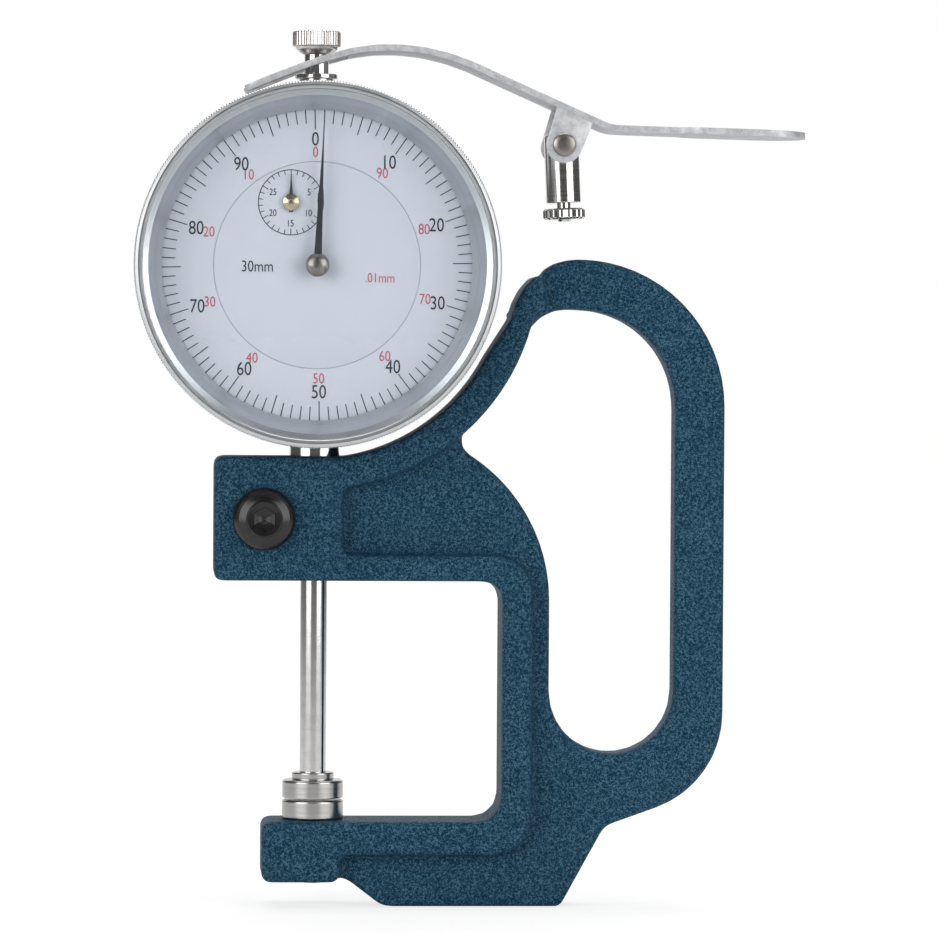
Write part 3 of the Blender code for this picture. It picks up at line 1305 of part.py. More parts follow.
def build_gear_train():
    """Rack pinion, main gear, centre pinion, counter wheel and take-up wheel."""
    to_centre = math.atan2(-ARBOR_Z, -ARBOR_X)
    from_centre = to_centre + math.pi
    to_counter = math.atan2(COUNTER_Z - ARBOR_Z, COUNTER_X - ARBOR_X)
    pinion_half = RACK_HALF_WIDTH
    rack_arbor = arbor(
        "rack_pinion",
        ARBOR_RADIUS,
        BRIDGE_FRONT,
        -pinion_half - PINION_OVERHANG,
        [
            (RACK_PINION_TOOTH_COUNT, RACK_MODULE, 0.0, -pinion_half, pinion_half),
            (
                COUNTER_PINION_TOOTH_COUNT,
                COUNTER_MODULE,
                to_counter,
                COUNTER_GEAR_BACK - PINION_OVERHANG,
                COUNTER_GEAR_FRONT + PINION_OVERHANG,
            ),
        ],
    )
    put_on_dial(rack_arbor, ARBOR_X, ARBOR_Z)
    main = wheel_on(
        "main_gear", MAIN_GEAR_TOOTH_COUNT, MAIN_MODULE, to_centre,
        MAIN_GEAR_BACK, MAIN_GEAR_FRONT, ARBOR_RADIUS,
    )
    put_on_dial(main, ARBOR_X, ARBOR_Z)
    centre = arbor(
        "centre_pinion",
        FINE_ARBOR_RADIUS,
        POINTER_HUB_FRONT - SEAT_GAP,
        PLATE_BACK,
        [(
            CENTRE_PINION_TOOTH_COUNT,
            MAIN_MODULE,
            from_centre + math.pi / CENTRE_PINION_TOOTH_COUNT,
            MAIN_GEAR_BACK - PINION_OVERHANG,
            MAIN_GEAR_FRONT + PINION_OVERHANG,
        )],
    )
    put_on_dial(centre)
    counter_back = COUNTER_GEAR_BACK - PINION_OVERHANG
    counter_front = COUNTER_HUB_FRONT - SEAT_GAP
    counter = arbor("counter_arbor", FINE_ARBOR_RADIUS, counter_front, counter_back, [])
    put_on_dial(counter, COUNTER_X, COUNTER_Z)
    counter_wheel = wheel_on(
        "counter_wheel", COUNTER_WHEEL_TOOTH_COUNT, COUNTER_MODULE,
        to_counter + math.pi + math.pi / COUNTER_WHEEL_TOOTH_COUNT,
        COUNTER_GEAR_BACK, COUNTER_GEAR_FRONT, FINE_ARBOR_RADIUS,
    )
    put_on_dial(counter_wheel, COUNTER_X, COUNTER_Z)
    build_take_up(from_centre + math.pi / CENTRE_PINION_TOOTH_COUNT)


def build_take_up(pinion_phase):
    """Take-up wheel in mesh with the centre pinion, its arbor and the hairspring."""
    gap = TAKE_UP_ANGLE - pinion_phase
    pitch = math.tau / CENTRE_PINION_TOOTH_COUNT
    offset = gap / pitch - math.floor(gap / pitch)
    wheel_pitch = math.tau / MAIN_GEAR_TOOTH_COUNT
    phase = TAKE_UP_ANGLE + math.pi + (0.5 + offset) * wheel_pitch
    take_up = wheel_on(
        "take_up_wheel", MAIN_GEAR_TOOTH_COUNT, MAIN_MODULE, phase,
        MAIN_GEAR_BACK, MAIN_GEAR_FRONT, ARBOR_RADIUS,
    )
    put_on_dial(take_up, TAKE_UP_X, TAKE_UP_Z)
    take_up_arbor = arbor("take_up_arbor", ARBOR_RADIUS, BRIDGE_FRONT, PLATE_BACK, [])
    put_on_dial(take_up_arbor, TAKE_UP_X, TAKE_UP_Z)
    points = spiral_points(
        HAIRSPRING_INNER_RADIUS, HAIRSPRING_OUTER_RADIUS, HAIRSPRING_TURN_COUNT, HAIRSPRING_POINT_COUNT
    )
    hairspring = wire("hairspring", points, HAIRSPRING_WIRE_RADIUS)
    hairspring.rotation_euler = (math.pi / 2, 0.0, 0.0)
    depth = (COUNTER_GEAR_BACK + COUNTER_GEAR_FRONT) / 2
    place(hairspring, SPINDLE_X + TAKE_UP_X, -depth, DIAL_Z + TAKE_UP_Z)


# Hands

def build_pointer():
    """Long pointer and its hub."""
    spread = math.asin(POINTER_BASE_HALF_WIDTH / POINTER_HUB_RADIUS)
    outline = arc((0.0, 0.0), POINTER_HUB_RADIUS, math.pi / 2 + spread, 5 * math.pi / 2 - spread)
    outline += [
        (POINTER_BULGE_HALF_WIDTH, POINTER_BULGE_REACH),
        (POINTER_TIP_HALF_WIDTH, POINTER_NECK_REACH),
        (POINTER_TIP_HALF_WIDTH, POINTER_REACH),
        (-POINTER_TIP_HALF_WIDTH, POINTER_REACH),
        (-POINTER_TIP_HALF_WIDTH, POINTER_NECK_REACH),
        (-POINTER_BULGE_HALF_WIDTH, POINTER_BULGE_REACH),
    ]
    pointer = plate("pointer", [outline], POINTER_THICKNESS, finish="hand_black")
    bore = drill("bore", FINE_ARBOR_RADIUS + FIT_GAP, -OVERRUN, OVERRUN, SMALL_ROUND_STEP_COUNT // 2)
    cut(pointer, face_front(bore))
    pointer.rotation_euler = (0.0, POINTER_ANGLE, 0.0)
    place(pointer, SPINDLE_X, -(POINTER_BACK + POINTER_THICKNESS / 2), DIAL_Z)
    hub_base = POINTER_BACK + POINTER_THICKNESS + SEAT_GAP / 3
    hub_front = hub_base + POINTER_HUB_HEIGHT
    bore_end = POINTER_HUB_FRONT
    hub_profile = [
        (0.0, hub_front),
        (POINTER_HUB_RADIUS * math.cos(math.pi / 6), hub_front),
        (POINTER_HUB_RADIUS, hub_front - POINTER_HUB_HEIGHT / 4),
        (POINTER_HUB_RADIUS, hub_base),
        (FINE_ARBOR_RADIUS + FIT_GAP, hub_base),
        (FINE_ARBOR_RADIUS + FIT_GAP, bore_end),
        (0.0, bore_end),
    ]
    on_dial(turned("pointer_hub", hub_profile, "steel", SMALL_ROUND_STEP_COUNT))


def build_counter_hand():
    """Short hand of the millimetre counter and its hub."""
    radius = COUNTER_HUB_RADIUS * math.cos(math.pi / 6)
    spread = math.asin(COUNTER_HAND_BASE_HALF_WIDTH / radius)
    half_turn = math.pi / 2
    outline = arc((0.0, 0.0), radius, spread - half_turn, half_turn - spread)
    outline += [
        (COUNTER_HAND_TIP_HALF_WIDTH, COUNTER_HAND_REACH),
        (-COUNTER_HAND_TIP_HALF_WIDTH, COUNTER_HAND_REACH),
    ]
    outline += arc((0.0, 0.0), radius, half_turn + spread, 3 * half_turn - spread)
    outline += [
        (-COUNTER_HAND_BASE_HALF_WIDTH, -COUNTER_HAND_TAIL),
        (COUNTER_HAND_BASE_HALF_WIDTH, -COUNTER_HAND_TAIL),
    ]
    hand = plate("counter_hand", [outline], COUNTER_HAND_THICKNESS, finish="hand_black")
    bore = drill("bore", FINE_ARBOR_RADIUS + FIT_GAP, -OVERRUN, OVERRUN, SMALL_ROUND_STEP_COUNT // 2)
    cut(hand, face_front(bore))
    middle = COUNTER_HAND_BACK + COUNTER_HAND_THICKNESS / 2
    place(hand, SPINDLE_X + COUNTER_X, -middle, DIAL_Z + COUNTER_Z)
    base = COUNTER_HAND_BACK + COUNTER_HAND_THICKNESS + SEAT_GAP / 3
    front = base + COUNTER_HUB_HEIGHT
    profile = [
        (0.0, front),
        (COUNTER_HUB_RADIUS * math.cos(math.pi / 6), front),
        (COUNTER_HUB_RADIUS, base + COUNTER_HUB_HEIGHT / 2),
        (COUNTER_HUB_RADIUS, base),
        (FINE_ARBOR_RADIUS + FIT_GAP, base),
        (FINE_ARBOR_RADIUS + FIT_GAP, COUNTER_HUB_FRONT - SEAT_GAP / 2),
        (0.0, COUNTER_HUB_FRONT - SEAT_GAP / 2),
    ]
    on_dial(turned("counter_hub", profile, "brass", SMALL_ROUND_STEP_COUNT), COUNTER_X, COUNTER_Z)


# Lever

def lever_centreline():
    """Middle line of the lever's strip, from the fork's tips to the thumb pad."""
    crest = FORK_Z + LEVER_CREST_RISE / 2
    tip_x = SPINDLE_X - FORK_TIP_REACH
    elbow_z = PIVOT_Z + LEVER_ELBOW_RISE
    return [
        (tip_x, FORK_Z - LEVER_CREST_RISE),
        (SPINDLE_X + LEVER_CREST_LEFT, crest),
        (SPINDLE_X + LEVER_CREST_RIGHT, crest),
        (LEVER_ELBOW_X, elbow_z),
        (PAD_END_X, elbow_z - PAD_DROP),
    ]


def strip_outline():
    """Side view of the lever's strip: its middle line with half the thickness each way."""
    line = [Vector(point) for point in lever_centreline()]
    bends = (0.0, LEVER_CREST_LEFT_BEND, LEVER_CREST_RIGHT_BEND, LEVER_ELBOW_BEND, 0.0)
    half = LEVER_THICKNESS / 2
    sides = []
    for side in (1, -1):
        run = []
        for index, (point, bend) in enumerate(zip(line, bends)):
            before = (point - line[max(index - 1, 0)]).normalized()
            after = (line[min(index + 1, len(line) - 1)] - point).normalized()
            along_run = (before + after).normalized()
            normal = Vector((-along_run.y, along_run.x))
            stretch = half / max(before.dot(along_run), after.dot(along_run))
            turn = before.x * after.y - before.y * after.x
            radius = bend + half * (side if turn < 0 else -side) if bend else 0.0
            run.append((*(point + normal * stretch * side), radius))
        sides.append(run)
    return rounded(sides[0] + sides[1][::-1])


def plan_outline():
    """Plan view of the lever: straight fork and strip, widening to a round thumb pad."""
    half = LEVER_HALF_WIDTH
    pad = PAD_WIDTH / 2
    tip = SPINDLE_X - FORK_TIP_REACH - OVERRUN
    end = PAD_END_X - pad
    corners = [
        (tip, -half, 0.0),
        (tip, half, 0.0),
        (PAD_START_X, half, RIM_OUTER_CORNER),
        (PAD_START_X + pad / 2, pad, RIM_OUTER_CORNER),
    ]
    corners += along(arc((end, 0.0), pad, math.pi / 2, -math.pi / 2))
    corners += [
        (PAD_START_X + pad / 2, -pad, RIM_OUTER_CORNER),
        (PAD_START_X, -half, RIM_OUTER_CORNER),
    ]
    return rounded(corners)


def ear_outline():
    """Side view of one of the lever's ears, round at the pin."""
    line = [Vector(point) for point in lever_centreline()]
    slope = (line[3] - line[2]).normalized()
    normal = Vector((-slope.y, slope.x))
    pivot = Vector((PIVOT_X, PIVOT_Z))
    rise = (line[2] - pivot).dot(normal) + EAR_TOP_OVERLAP - LEVER_THICKNESS / 2
    top_left = pivot + normal * rise - slope * EAR_BOTTOM_RADIUS - slope * EAR_TOP_LEFT
    top_right = pivot + normal * rise + slope * EAR_TOP_RIGHT
    low = arc(
        (PIVOT_X, PIVOT_Z),
        EAR_BOTTOM_RADIUS,
        math.atan2(slope.y, slope.x),
        math.atan2(-slope.y, -slope.x) - math.tau,
    )
    return rounded(along([tuple(top_left), tuple(top_right)]) + along(low))


def build_lever():
    """Lifting lever: bent strip with a fork, a thumb pad and two ears for the pin."""
    lever = plate("lever", [strip_outline()], PAD_WIDTH + OVERRUN, finish="satin_alloy")
    plan = plate("plan", [plan_outline()], 2 * PIVOT_Z, cutter=True)
    plan.rotation_euler = (math.pi / 2, 0.0, 0.0)
    settle(place(plan, z=PIVOT_Z))
    combine(lever, plan, "INTERSECT")
    slot = block(
        "slot",
        (SPINDLE_X - FORK_TIP_REACH - OVERRUN, -FORK_SLOT_WIDTH / 2, 0.0),
        (SPINDLE_X + FORK_SLOT_BACK, FORK_SLOT_WIDTH / 2, KNOB_TOP_Z),
        cutter=True,
    )
    cut(lever, slot)
    for side in (1, -1):
        ear = plate("ear", [ear_outline()], LEVER_THICKNESS, cutter=True)
        place(ear, y=side * (LEVER_HALF_WIDTH - LEVER_THICKNESS / 2 - FIT_GAP))
        join(lever, ear)
    hole = drill("hole", PIN_RADIUS + FIT_GAP, -LEVER_WIDTH, LEVER_WIDTH)
    cut(lever, face_front(hole, PIVOT_X, PIVOT_Z))
    bpy.context.view_layer.update()
    lever.data.transform(Matrix.Translation((-PIVOT_X, 0.0, -PIVOT_Z)))
    return place(lever, PIVOT_X, 0.0, PIVOT_Z)


def build_pin():
    """Rivet through the ears and the post, with a domed head at each end."""
    head = LEVER_HALF_WIDTH + SEAT_GAP
    crown = head + PIN_HEAD_HEIGHT
    side = (PIN_HEAD_RADIUS, head)
    middle = (PIN_HEAD_RADIUS * math.cos(math.pi / 6), head + PIN_HEAD_HEIGHT * 0.6)
    low_side = (PIN_HEAD_RADIUS, -head)
    low_middle = (PIN_HEAD_RADIUS * math.cos(math.pi / 6), -head - PIN_HEAD_HEIGHT * 0.6)
    profile = [
        (0.0, crown), middle, side, (PIN_RADIUS, head),
        (PIN_RADIUS, -head), low_side, low_middle, (0.0, -crown),
    ]
    return face_front(turned("pivot_pin", profile, "chrome", SMALL_ROUND_STEP_COUNT), PIVOT_X, PIVOT_Z)


def stand_on_post(piece):
    """Place a shape made about Z, with the pin at height zero, on the tilted post's axis."""
    piece.rotation_euler = (0.0, POST_TILT, 0.0)
    return place(piece, PIVOT_X, 0.0, PIVOT_Z)


def build_post():
    """Round post that carries the pin, with a tapped hole in its lower end."""
    profile = [
        (0.0, POST_HEAD_RISE),
        (POST_RADIUS - POST_EDGE, POST_HEAD_RISE),
        (POST_RADIUS, POST_HEAD_RISE - POST_EDGE),
        (POST_RADIUS, POST_EDGE - POST_LENGTH),
        (POST_RADIUS - POST_EDGE, -POST_LENGTH),
        (0.0, -POST_LENGTH),
    ]
    post = turned("lever_post", profile, "chrome", SMALL_ROUND_STEP_COUNT)
    tap = drill(
        "tap",
        POST_SCREW_NECK_RADIUS + FIT_GAP,
        -POST_LENGTH - OVERRUN,
        POST_SCREW_STUD_LENGTH + SEAT_GAP - POST_LENGTH,
    )
    cut(post, tap)
    cross = drill("cross", PIN_RADIUS + FIT_GAP, -POST_RADIUS - OVERRUN, POST_RADIUS + OVERRUN)
    cut(post, face_front(cross))
    return stand_on_post(post)


def build_post_screw():
    """Screw in the post's lower end with a knurled wheel and a small boss below it."""
    wheel_top = -POST_LENGTH - POST_SCREW_NECK_LENGTH
    wheel_base = wheel_top - WHEEL_THICKNESS
    profile = [
        (0.0, POST_SCREW_STUD_LENGTH - POST_LENGTH),
        (POST_SCREW_NECK_RADIUS, POST_SCREW_STUD_LENGTH - POST_LENGTH),
        (POST_SCREW_NECK_RADIUS, wheel_top),
        (WHEEL_RADIUS - WHEEL_EDGE, wheel_top),
        (WHEEL_RADIUS, wheel_top - WHEEL_EDGE),
        (WHEEL_RADIUS, wheel_base + WHEEL_EDGE),
        (WHEEL_RADIUS - WHEEL_EDGE, wheel_base),
        (POST_SCREW_NECK_RADIUS, wheel_base),
        (POST_SCREW_NECK_RADIUS, wheel_base - WHEEL_BOSS_LENGTH),
        (0.0, wheel_base - WHEEL_BOSS_LENGTH),
    ]
    screw = turned("post_screw", profile, "chrome")
    knurl(
        screw, "wheel_knurl", WHEEL_RADIUS, WHEEL_GROOVE_DEPTH, WHEEL_GROOVE_COUNT,
        wheel_top, wheel_base,
    )
    return stand_on_post(screw)


def build_gauge():
    """Build every piece of the gauge."""
    clear_scene()
    build_frame()
    build_clamp_screw()
    build_anvil()
    build_case()
    build_cover()
    build_cover_screws()
    build_stem()
    build_bush()
    build_bezel()
    build_crystal()
    build_dial()
    build_spindle()
    build_contact()
    build_knob()
    build_guide()
    build_return_spring()
    build_plates()
    build_gear_train()
    build_pointer()
    build_counter_hand()
    build_lever()
    build_pin()
    build_post()
    build_post_screw()


build_gauge()
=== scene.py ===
import logging
import math
from dataclasses import dataclass
from enum import Enum
from typing import Any, Iterable, Sequence

import bmesh
import bpy
from mathutils import Euler, Matrix, Vector


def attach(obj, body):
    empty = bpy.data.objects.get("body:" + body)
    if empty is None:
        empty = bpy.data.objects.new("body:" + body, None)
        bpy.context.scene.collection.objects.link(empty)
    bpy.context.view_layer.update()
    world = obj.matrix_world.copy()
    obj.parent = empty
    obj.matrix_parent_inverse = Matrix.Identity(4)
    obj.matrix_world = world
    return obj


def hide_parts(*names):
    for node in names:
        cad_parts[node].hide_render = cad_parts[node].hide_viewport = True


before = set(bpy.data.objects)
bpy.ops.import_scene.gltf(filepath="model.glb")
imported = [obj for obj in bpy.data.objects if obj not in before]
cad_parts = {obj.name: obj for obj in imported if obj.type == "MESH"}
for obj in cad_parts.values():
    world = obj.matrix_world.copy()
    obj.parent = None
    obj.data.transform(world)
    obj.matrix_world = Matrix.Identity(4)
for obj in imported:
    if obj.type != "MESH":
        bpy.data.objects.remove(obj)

# All sizes below are in millimetres, and a finished piece is scaled to metres
MM = 0.001
WELD = 0.002
FULL_TURN = math.tau

Point = tuple[float, float]
Corner = tuple[float, float, float]
Colour = tuple[float, float, float]
Socket = bpy.types.NodeSocket
Tree = bpy.types.NodeTree
Node = bpy.types.Node

log = logging.getLogger("thickness_gauge")


# Axes and outlines

@dataclass(frozen=True)
class Axis:
    """A line that pieces are turned about: a point on it and the turn that lays Z along it."""

    x: float
    y: float
    z: float
    turn: tuple[float, float, float] = (0.0, 0.0, 0.0)

    def matrix(self) -> Matrix:
        """Matrix from the axis's own space to the gauge's, both in millimetres."""
        return Matrix.Translation((self.x, self.y, self.z)) @ Euler(self.turn).to_matrix().to_4x4()


FORWARD = (math.pi / 2, 0.0, 0.0)
GAUGE_AXIS = Axis(0.0, 0.0, 0.0)
SPINDLE_AXIS = Axis(-24.5, 0.0, 0.0)
DIAL_AXIS = Axis(-24.5, 0.0, 102.6, FORWARD)
COUNTER_AXIS = Axis(-28.7, 0.0, 112.5, FORWARD)
CLAMP_AXIS = Axis(-32.65, 0.0, 62.2, FORWARD)
PIN_AXIS = Axis(15.0, 0.0, 122.2, FORWARD)
POST_AXIS = Axis(15.0, 0.0, 122.2, (0.0, math.radians(-2.5), 0.0))
SIDE_AXIS = Axis(0.0, 0.0, 0.0, FORWARD)


def rounded(corners: Sequence[Corner], step: float = 0.25, closed: bool = True) -> list[Point]:
    """Replace each corner of an outline by an arc.

    Args:
        corners: Points with the radius of the arc at each, in order along the outline.
        step: Longest piece of an arc, in millimetres.
        closed: Whether the last corner joins the first.

    Returns:
        The points of the outline.
    """
    made: list[Point] = []
    count = len(corners)
    for index, (x, y, radius) in enumerate(corners):
        here = Vector((x, y))
        at_end = not closed and index in (0, count - 1)
        if radius <= 0.0 or at_end:
            made.append((x, y))
            continue
        before = (Vector(corners[index - 1][:2]) - here).normalized()
        after = (Vector(corners[(index + 1) % count][:2]) - here).normalized()
        opening = before.angle(after)
        reach = radius / math.tan(opening / 2)
        centre = here + (before + after).normalized() * (radius / math.sin(opening / 2))
        start = here + before * reach - centre
        sweep = math.pi - opening
        if before.x * after.y - before.y * after.x > 0:
            sweep = -sweep
        pieces = max(2, math.ceil(abs(sweep) * radius / step))
        first = math.atan2(start.y, start.x)
        for piece in range(pieces + 1):
            angle = first + sweep * piece / pieces
            made.append((centre.x + radius * math.cos(angle), centre.y + radius * math.sin(angle)))
    return made


def arc(centre: Point, radius: float, start: float, end: float, pieces: int) -> list[Point]:
    """Points on an arc.

    Args:
        centre: Middle of the arc.
        radius: Its radius.
        start: First angle, in radians.
        end: Last angle, in radians.
        pieces: How many straight pieces it has.

    Returns:
        The points, ends included.
    """
    angles = [start + (end - start) * index / pieces for index in range(pieces + 1)]
    return [(centre[0] + radius * math.cos(a), centre[1] + radius * math.sin(a)) for a in angles]


def section(inner: float, outer: float, low: float, high: float) -> list[Point]:
    """Section of a ring: the rectangle between two radii and two heights."""
    return [(inner, low), (outer, low), (outer, high), (inner, high)]


def both_sides(right: Sequence[Corner]) -> list[Corner]:
    """A whole outline from its right half."""
    return [*right, *((-x, y, radius) for x, y, radius in right[::-1])]


# Node sheets

class NodeSheet:
    """A material's or a group's node tree, with short ways to add nodes to it."""

    def __init__(self, tree: Tree) -> None:
        """Keep the tree that nodes are added to."""
        self.tree = tree

    def add(self, kind: str, **settings: Any) -> Node:
        """Add a node.

        Args:
            kind: Blender's name for the kind of node.
            settings: Properties of the node.

        Returns:
            The new node.
        """
        node = self.tree.nodes.new(kind)
        for name, value in settings.items():
            setattr(node, name, value)
        return node

    def wire(self, source: Socket, target: Socket) -> None:
        """Link one socket to another."""
        self.tree.links.new(source, target)

    def feed(self, target: Socket, value: Any) -> None:
        """Give a socket a link where the value is a socket, or else a constant."""
        if isinstance(value, Socket):
            self.wire(value, target)
        else:
            target.default_value = value

    def math(self, operation: str, first: Any, second: Any = 0.0, clamp: bool = False) -> Socket:
        """Work out one step of arithmetic.

        Args:
            operation: Blender's name for the step.
            first: Socket or number.
            second: Socket or number.
            clamp: Whether the result stays between 0 and 1.

        Returns:
            The socket that holds the result.
        """
        node = self.add("ShaderNodeMath", operation=operation, use_clamp=clamp)
        self.feed(node.inputs[0], first)
        self.feed(node.inputs[1], second)
        return node.outputs[0]

    def noise(
        self, vector: Any, scale: Any, detail: float = 3.0, roughness: float = 0.5, swirl: float = 0.0
    ) -> Socket:
        """Add a noise texture.

        Args:
            vector: Socket with the place on the piece, in metres.
            scale: Cells to a metre.
            detail: Number of finer layers.
            roughness: Strength of the finer layers.
            swirl: Distortion.

        Returns:
            The socket with a value from 0 to 1.
        """
        node = self.add("ShaderNodeTexNoise")
        self.feed(node.inputs["Vector"], vector)
        self.feed(node.inputs["Scale"], scale)
        node.inputs["Detail"].default_value = detail
        node.inputs["Roughness"].default_value = roughness
        node.inputs["Distortion"].default_value = swirl
        return node.outputs["Fac"]

    def ramp(self, value: Any, stops: Sequence[tuple[float, Colour]]) -> Socket:
        """Turn a value into a colour by a ramp.

        Args:
            value: Socket from 0 to 1.
            stops: Places on the ramp, each with a colour.

        Returns:
            The socket with the colour.
        """
        node = self.add("ShaderNodeValToRGB")
        ramp = node.color_ramp
        while len(ramp.elements) < len(stops):
            ramp.elements.new(0.5)
        for element, (place, colour) in zip(ramp.elements, stops):
            element.position = place
            element.color = (*colour, 1.0)
        self.feed(node.inputs["Fac"], value)
        return node.outputs["Color"]

    def spread(self, value: Any, low: float, high: float, to_low: float, to_high: float) -> Socket:
        """Map one range of values to another, held at both ends.

        Args:
            value: Socket with the value.
            low: Start of the range it comes from.
            high: End of that range.
            to_low: What the start becomes.
            to_high: What the end becomes.

        Returns:
            The socket with the new value.
        """
        node = self.add("ShaderNodeMapRange", clamp=True)
        self.feed(node.inputs["Value"], value)
        node.inputs["From Min"].default_value = low
        node.inputs["From Max"].default_value = high
        node.inputs["To Min"].default_value = to_low
        node.inputs["To Max"].default_value = to_high
        return node.outputs["Result"]

    def blend(self, share: Any, first: Any, second: Any, how: str = "MIX") -> Socket:
        """Mix two colours.

        Args:
            share: Socket or number, the second colour's part.
            first: Socket or colour.
            second: Socket or colour.
            how: Blender's name for the way they mix.

        Returns:
            The socket with the colour.
        """
        node = self.add("ShaderNodeMix", data_type="RGBA", blend_type=how)
        self.feed(node.inputs[0], share)
        self.feed(node.inputs[6], (*first, 1.0) if isinstance(first, tuple) else first)
        self.feed(node.inputs[7], (*second, 1.0) if isinstance(second, tuple) else second)
        return node.outputs[2]

    def relief(self, height: Any, strength: float, depth: float, under: Any = None) -> Socket:
        """Turn a height into a normal.

        Args:
            height: Socket with the height.
            strength: Share of the effect.
            depth: Depth of the relief, in metres.
            under: Socket with the normal below it, if there is one.

        Returns:
            The socket with the normal.
        """
        node = self.add("ShaderNodeBump")
        node.inputs["Strength"].default_value = strength
        node.inputs["Distance"].default_value = depth
        self.feed(node.inputs["Height"], height)
        if under is not None:
            self.wire(under, node.inputs["Normal"])
        return node.outputs["Normal"]

    def group(self, tree: Tree, **values: Any) -> Node:
        """Place a node group and fill its inputs.

        Args:
            tree: The group.
            values: Sockets or numbers by input name.

        Returns:
            The group's node.
        """
        node = self.add("ShaderNodeGroup", node_tree=tree)
        for name, value in values.items():
            self.feed(node.inputs[name], value)
        return node

    def choose(self, share: Any, first: Socket, second: Socket) -> None:
        """Mix two shaders and send the result to the tree's output.

        Args:
            share: Socket with the second shader's part.
            first: The first shader.
            second: The second shader.
        """
        mixer = self.add("ShaderNodeMixShader")
        for source, socket in zip((share, first, second), mixer.inputs):
            self.wire(source, socket)
        end = next(node for node in self.tree.nodes if node.type.startswith("OUTPUT_"))
        self.wire(mixer.outputs[0], end.inputs["Surface"])


def fresh_material(name: str) -> tuple[bpy.types.Material, NodeSheet, Node]:
    """A new material with its node sheet and its Principled shader."""
    made = bpy.data.materials.new(name)
    made.use_nodes = True
    return made, NodeSheet(made.node_tree), made.node_tree.nodes["Principled BSDF"]


class Effects:
    """The shader groups that more than one material uses, each built once."""

    def __init__(self) -> None:
        """Build every group."""
        self.lathe_lines = self.build_lathe_lines()
        self.fine_grain = self.build_fine_grain()
        self.edge_wear = self.build_edge_wear()
        self.handling = self.build_handling()

    def start(
        self, name: str, inputs: dict[str, float], outputs: Sequence[str]
    ) -> tuple[NodeSheet, Any, Any]:
        """Start a group that is laid at a place.

        Args:
            name: Name of the group.
            inputs: Default of each number input besides the place.
            outputs: Names of the value outputs.

        Returns:
            The group's node sheet, the sockets that it is given and those of its result.
        """
        tree = bpy.data.node_groups.new(name, "ShaderNodeTree")
        tree.interface.new_socket(name="Place", in_out="INPUT", socket_type="NodeSocketVector")
        for label, default in inputs.items():
            socket = tree.interface.new_socket(name=label, in_out="INPUT", socket_type="NodeSocketFloat")
            socket.default_value = default
        for label in outputs:
            tree.interface.new_socket(name=label, in_out="OUTPUT", socket_type="NodeSocketFloat")
        sheet = NodeSheet(tree)
        return sheet, sheet.add("NodeGroupInput").outputs, sheet.add("NodeGroupOutput").inputs

    def build_lathe_lines(self) -> Tree:
        """Rings and lines that a lathe or a grinder leaves round a piece's axis."""
        sheet, given, result = self.start("lathe_lines", {"Scale": 4000.0}, ("Lines", "Bands"))
        apart = sheet.add("ShaderNodeSeparateXYZ")
        sheet.wire(given["Place"], apart.inputs[0])
        squares = [sheet.math("MULTIPLY", apart.outputs[way], apart.outputs[way]) for way in "XY"]
        joined = sheet.add("ShaderNodeCombineXYZ")
        sheet.wire(sheet.math("SQRT", sheet.math("ADD", *squares)), joined.inputs["X"])
        sheet.wire(apart.outputs["Z"], joined.inputs["Y"])
        coarse = sheet.math("MULTIPLY", given["Scale"], 0.18)
        sheet.wire(sheet.noise(joined.outputs[0], given["Scale"], 2.0, 0.6), result["Lines"])
        sheet.wire(sheet.noise(joined.outputs[0], coarse, 2.0, 0.5), result["Bands"])
        return sheet.tree

    def build_fine_grain(self) -> Tree:
        """Fine grain at two sizes, as a value round one half."""
        sheet, given, result = self.start("fine_grain", {"Scale": 3000.0}, ("Grain", "Mottle"))
        broad = sheet.math("MULTIPLY", given["Scale"], 0.06)
        sheet.wire(sheet.noise(given["Place"], given["Scale"], 3.0, 0.6), result["Grain"])
        sheet.wire(sheet.noise(given["Place"], broad, 3.0, 0.55), result["Mottle"])
        return sheet.tree

    def build_edge_wear(self) -> Tree:
        """Masks of a piece's outer edges, broken up where hands and tools miss them, which the enamel also
        uses as a painted edge highlight, and of its hollows, which the enamel darkens as painted shade.
        """
        sheet, given, result = self.start("edge_wear", {"Reach": 0.06, "Scale": 900.0}, ("Worn_and_highlit", "Hollow"))
        shape = sheet.add("ShaderNodeNewGeometry").outputs["Pointiness"]
        out = sheet.math("DIVIDE", sheet.math("SUBTRACT", shape, 0.5), given["Reach"], clamp=True)
        kept = sheet.spread(sheet.noise(given["Place"], given["Scale"], 4.0, 0.6), 0.38, 0.62, 0.25, 1.0)
        sheet.wire(sheet.math("MULTIPLY", out, kept, clamp=True), result["Worn_and_highlit"])
        # Hollow mask: the enamel uses it to paint shade into its recesses
        sunk = sheet.math("DIVIDE", sheet.math("SUBTRACT", 0.5, shape), given["Reach"], clamp=True)
        sheet.wire(sunk, result["Hollow"])
        return sheet.tree

    def build_handling(self) -> Tree:
        """Soft smudges left by fingers and cloths, as a value round one half."""
        sheet, given, result = self.start("handling", {"Scale": 90.0}, ("Smudge",))
        sheet.wire(sheet.noise(given["Place"], given["Scale"], 4.0, 0.6, 0.6), result["Smudge"])
        return sheet.tree


# Finishes

class Lay(Enum):
    """Which way the fine lines of a metal run."""

    TURNED = "rings round the piece's axis"
    BRUSHED = "long lines along the piece"
    CAST = "no lines, only grain"


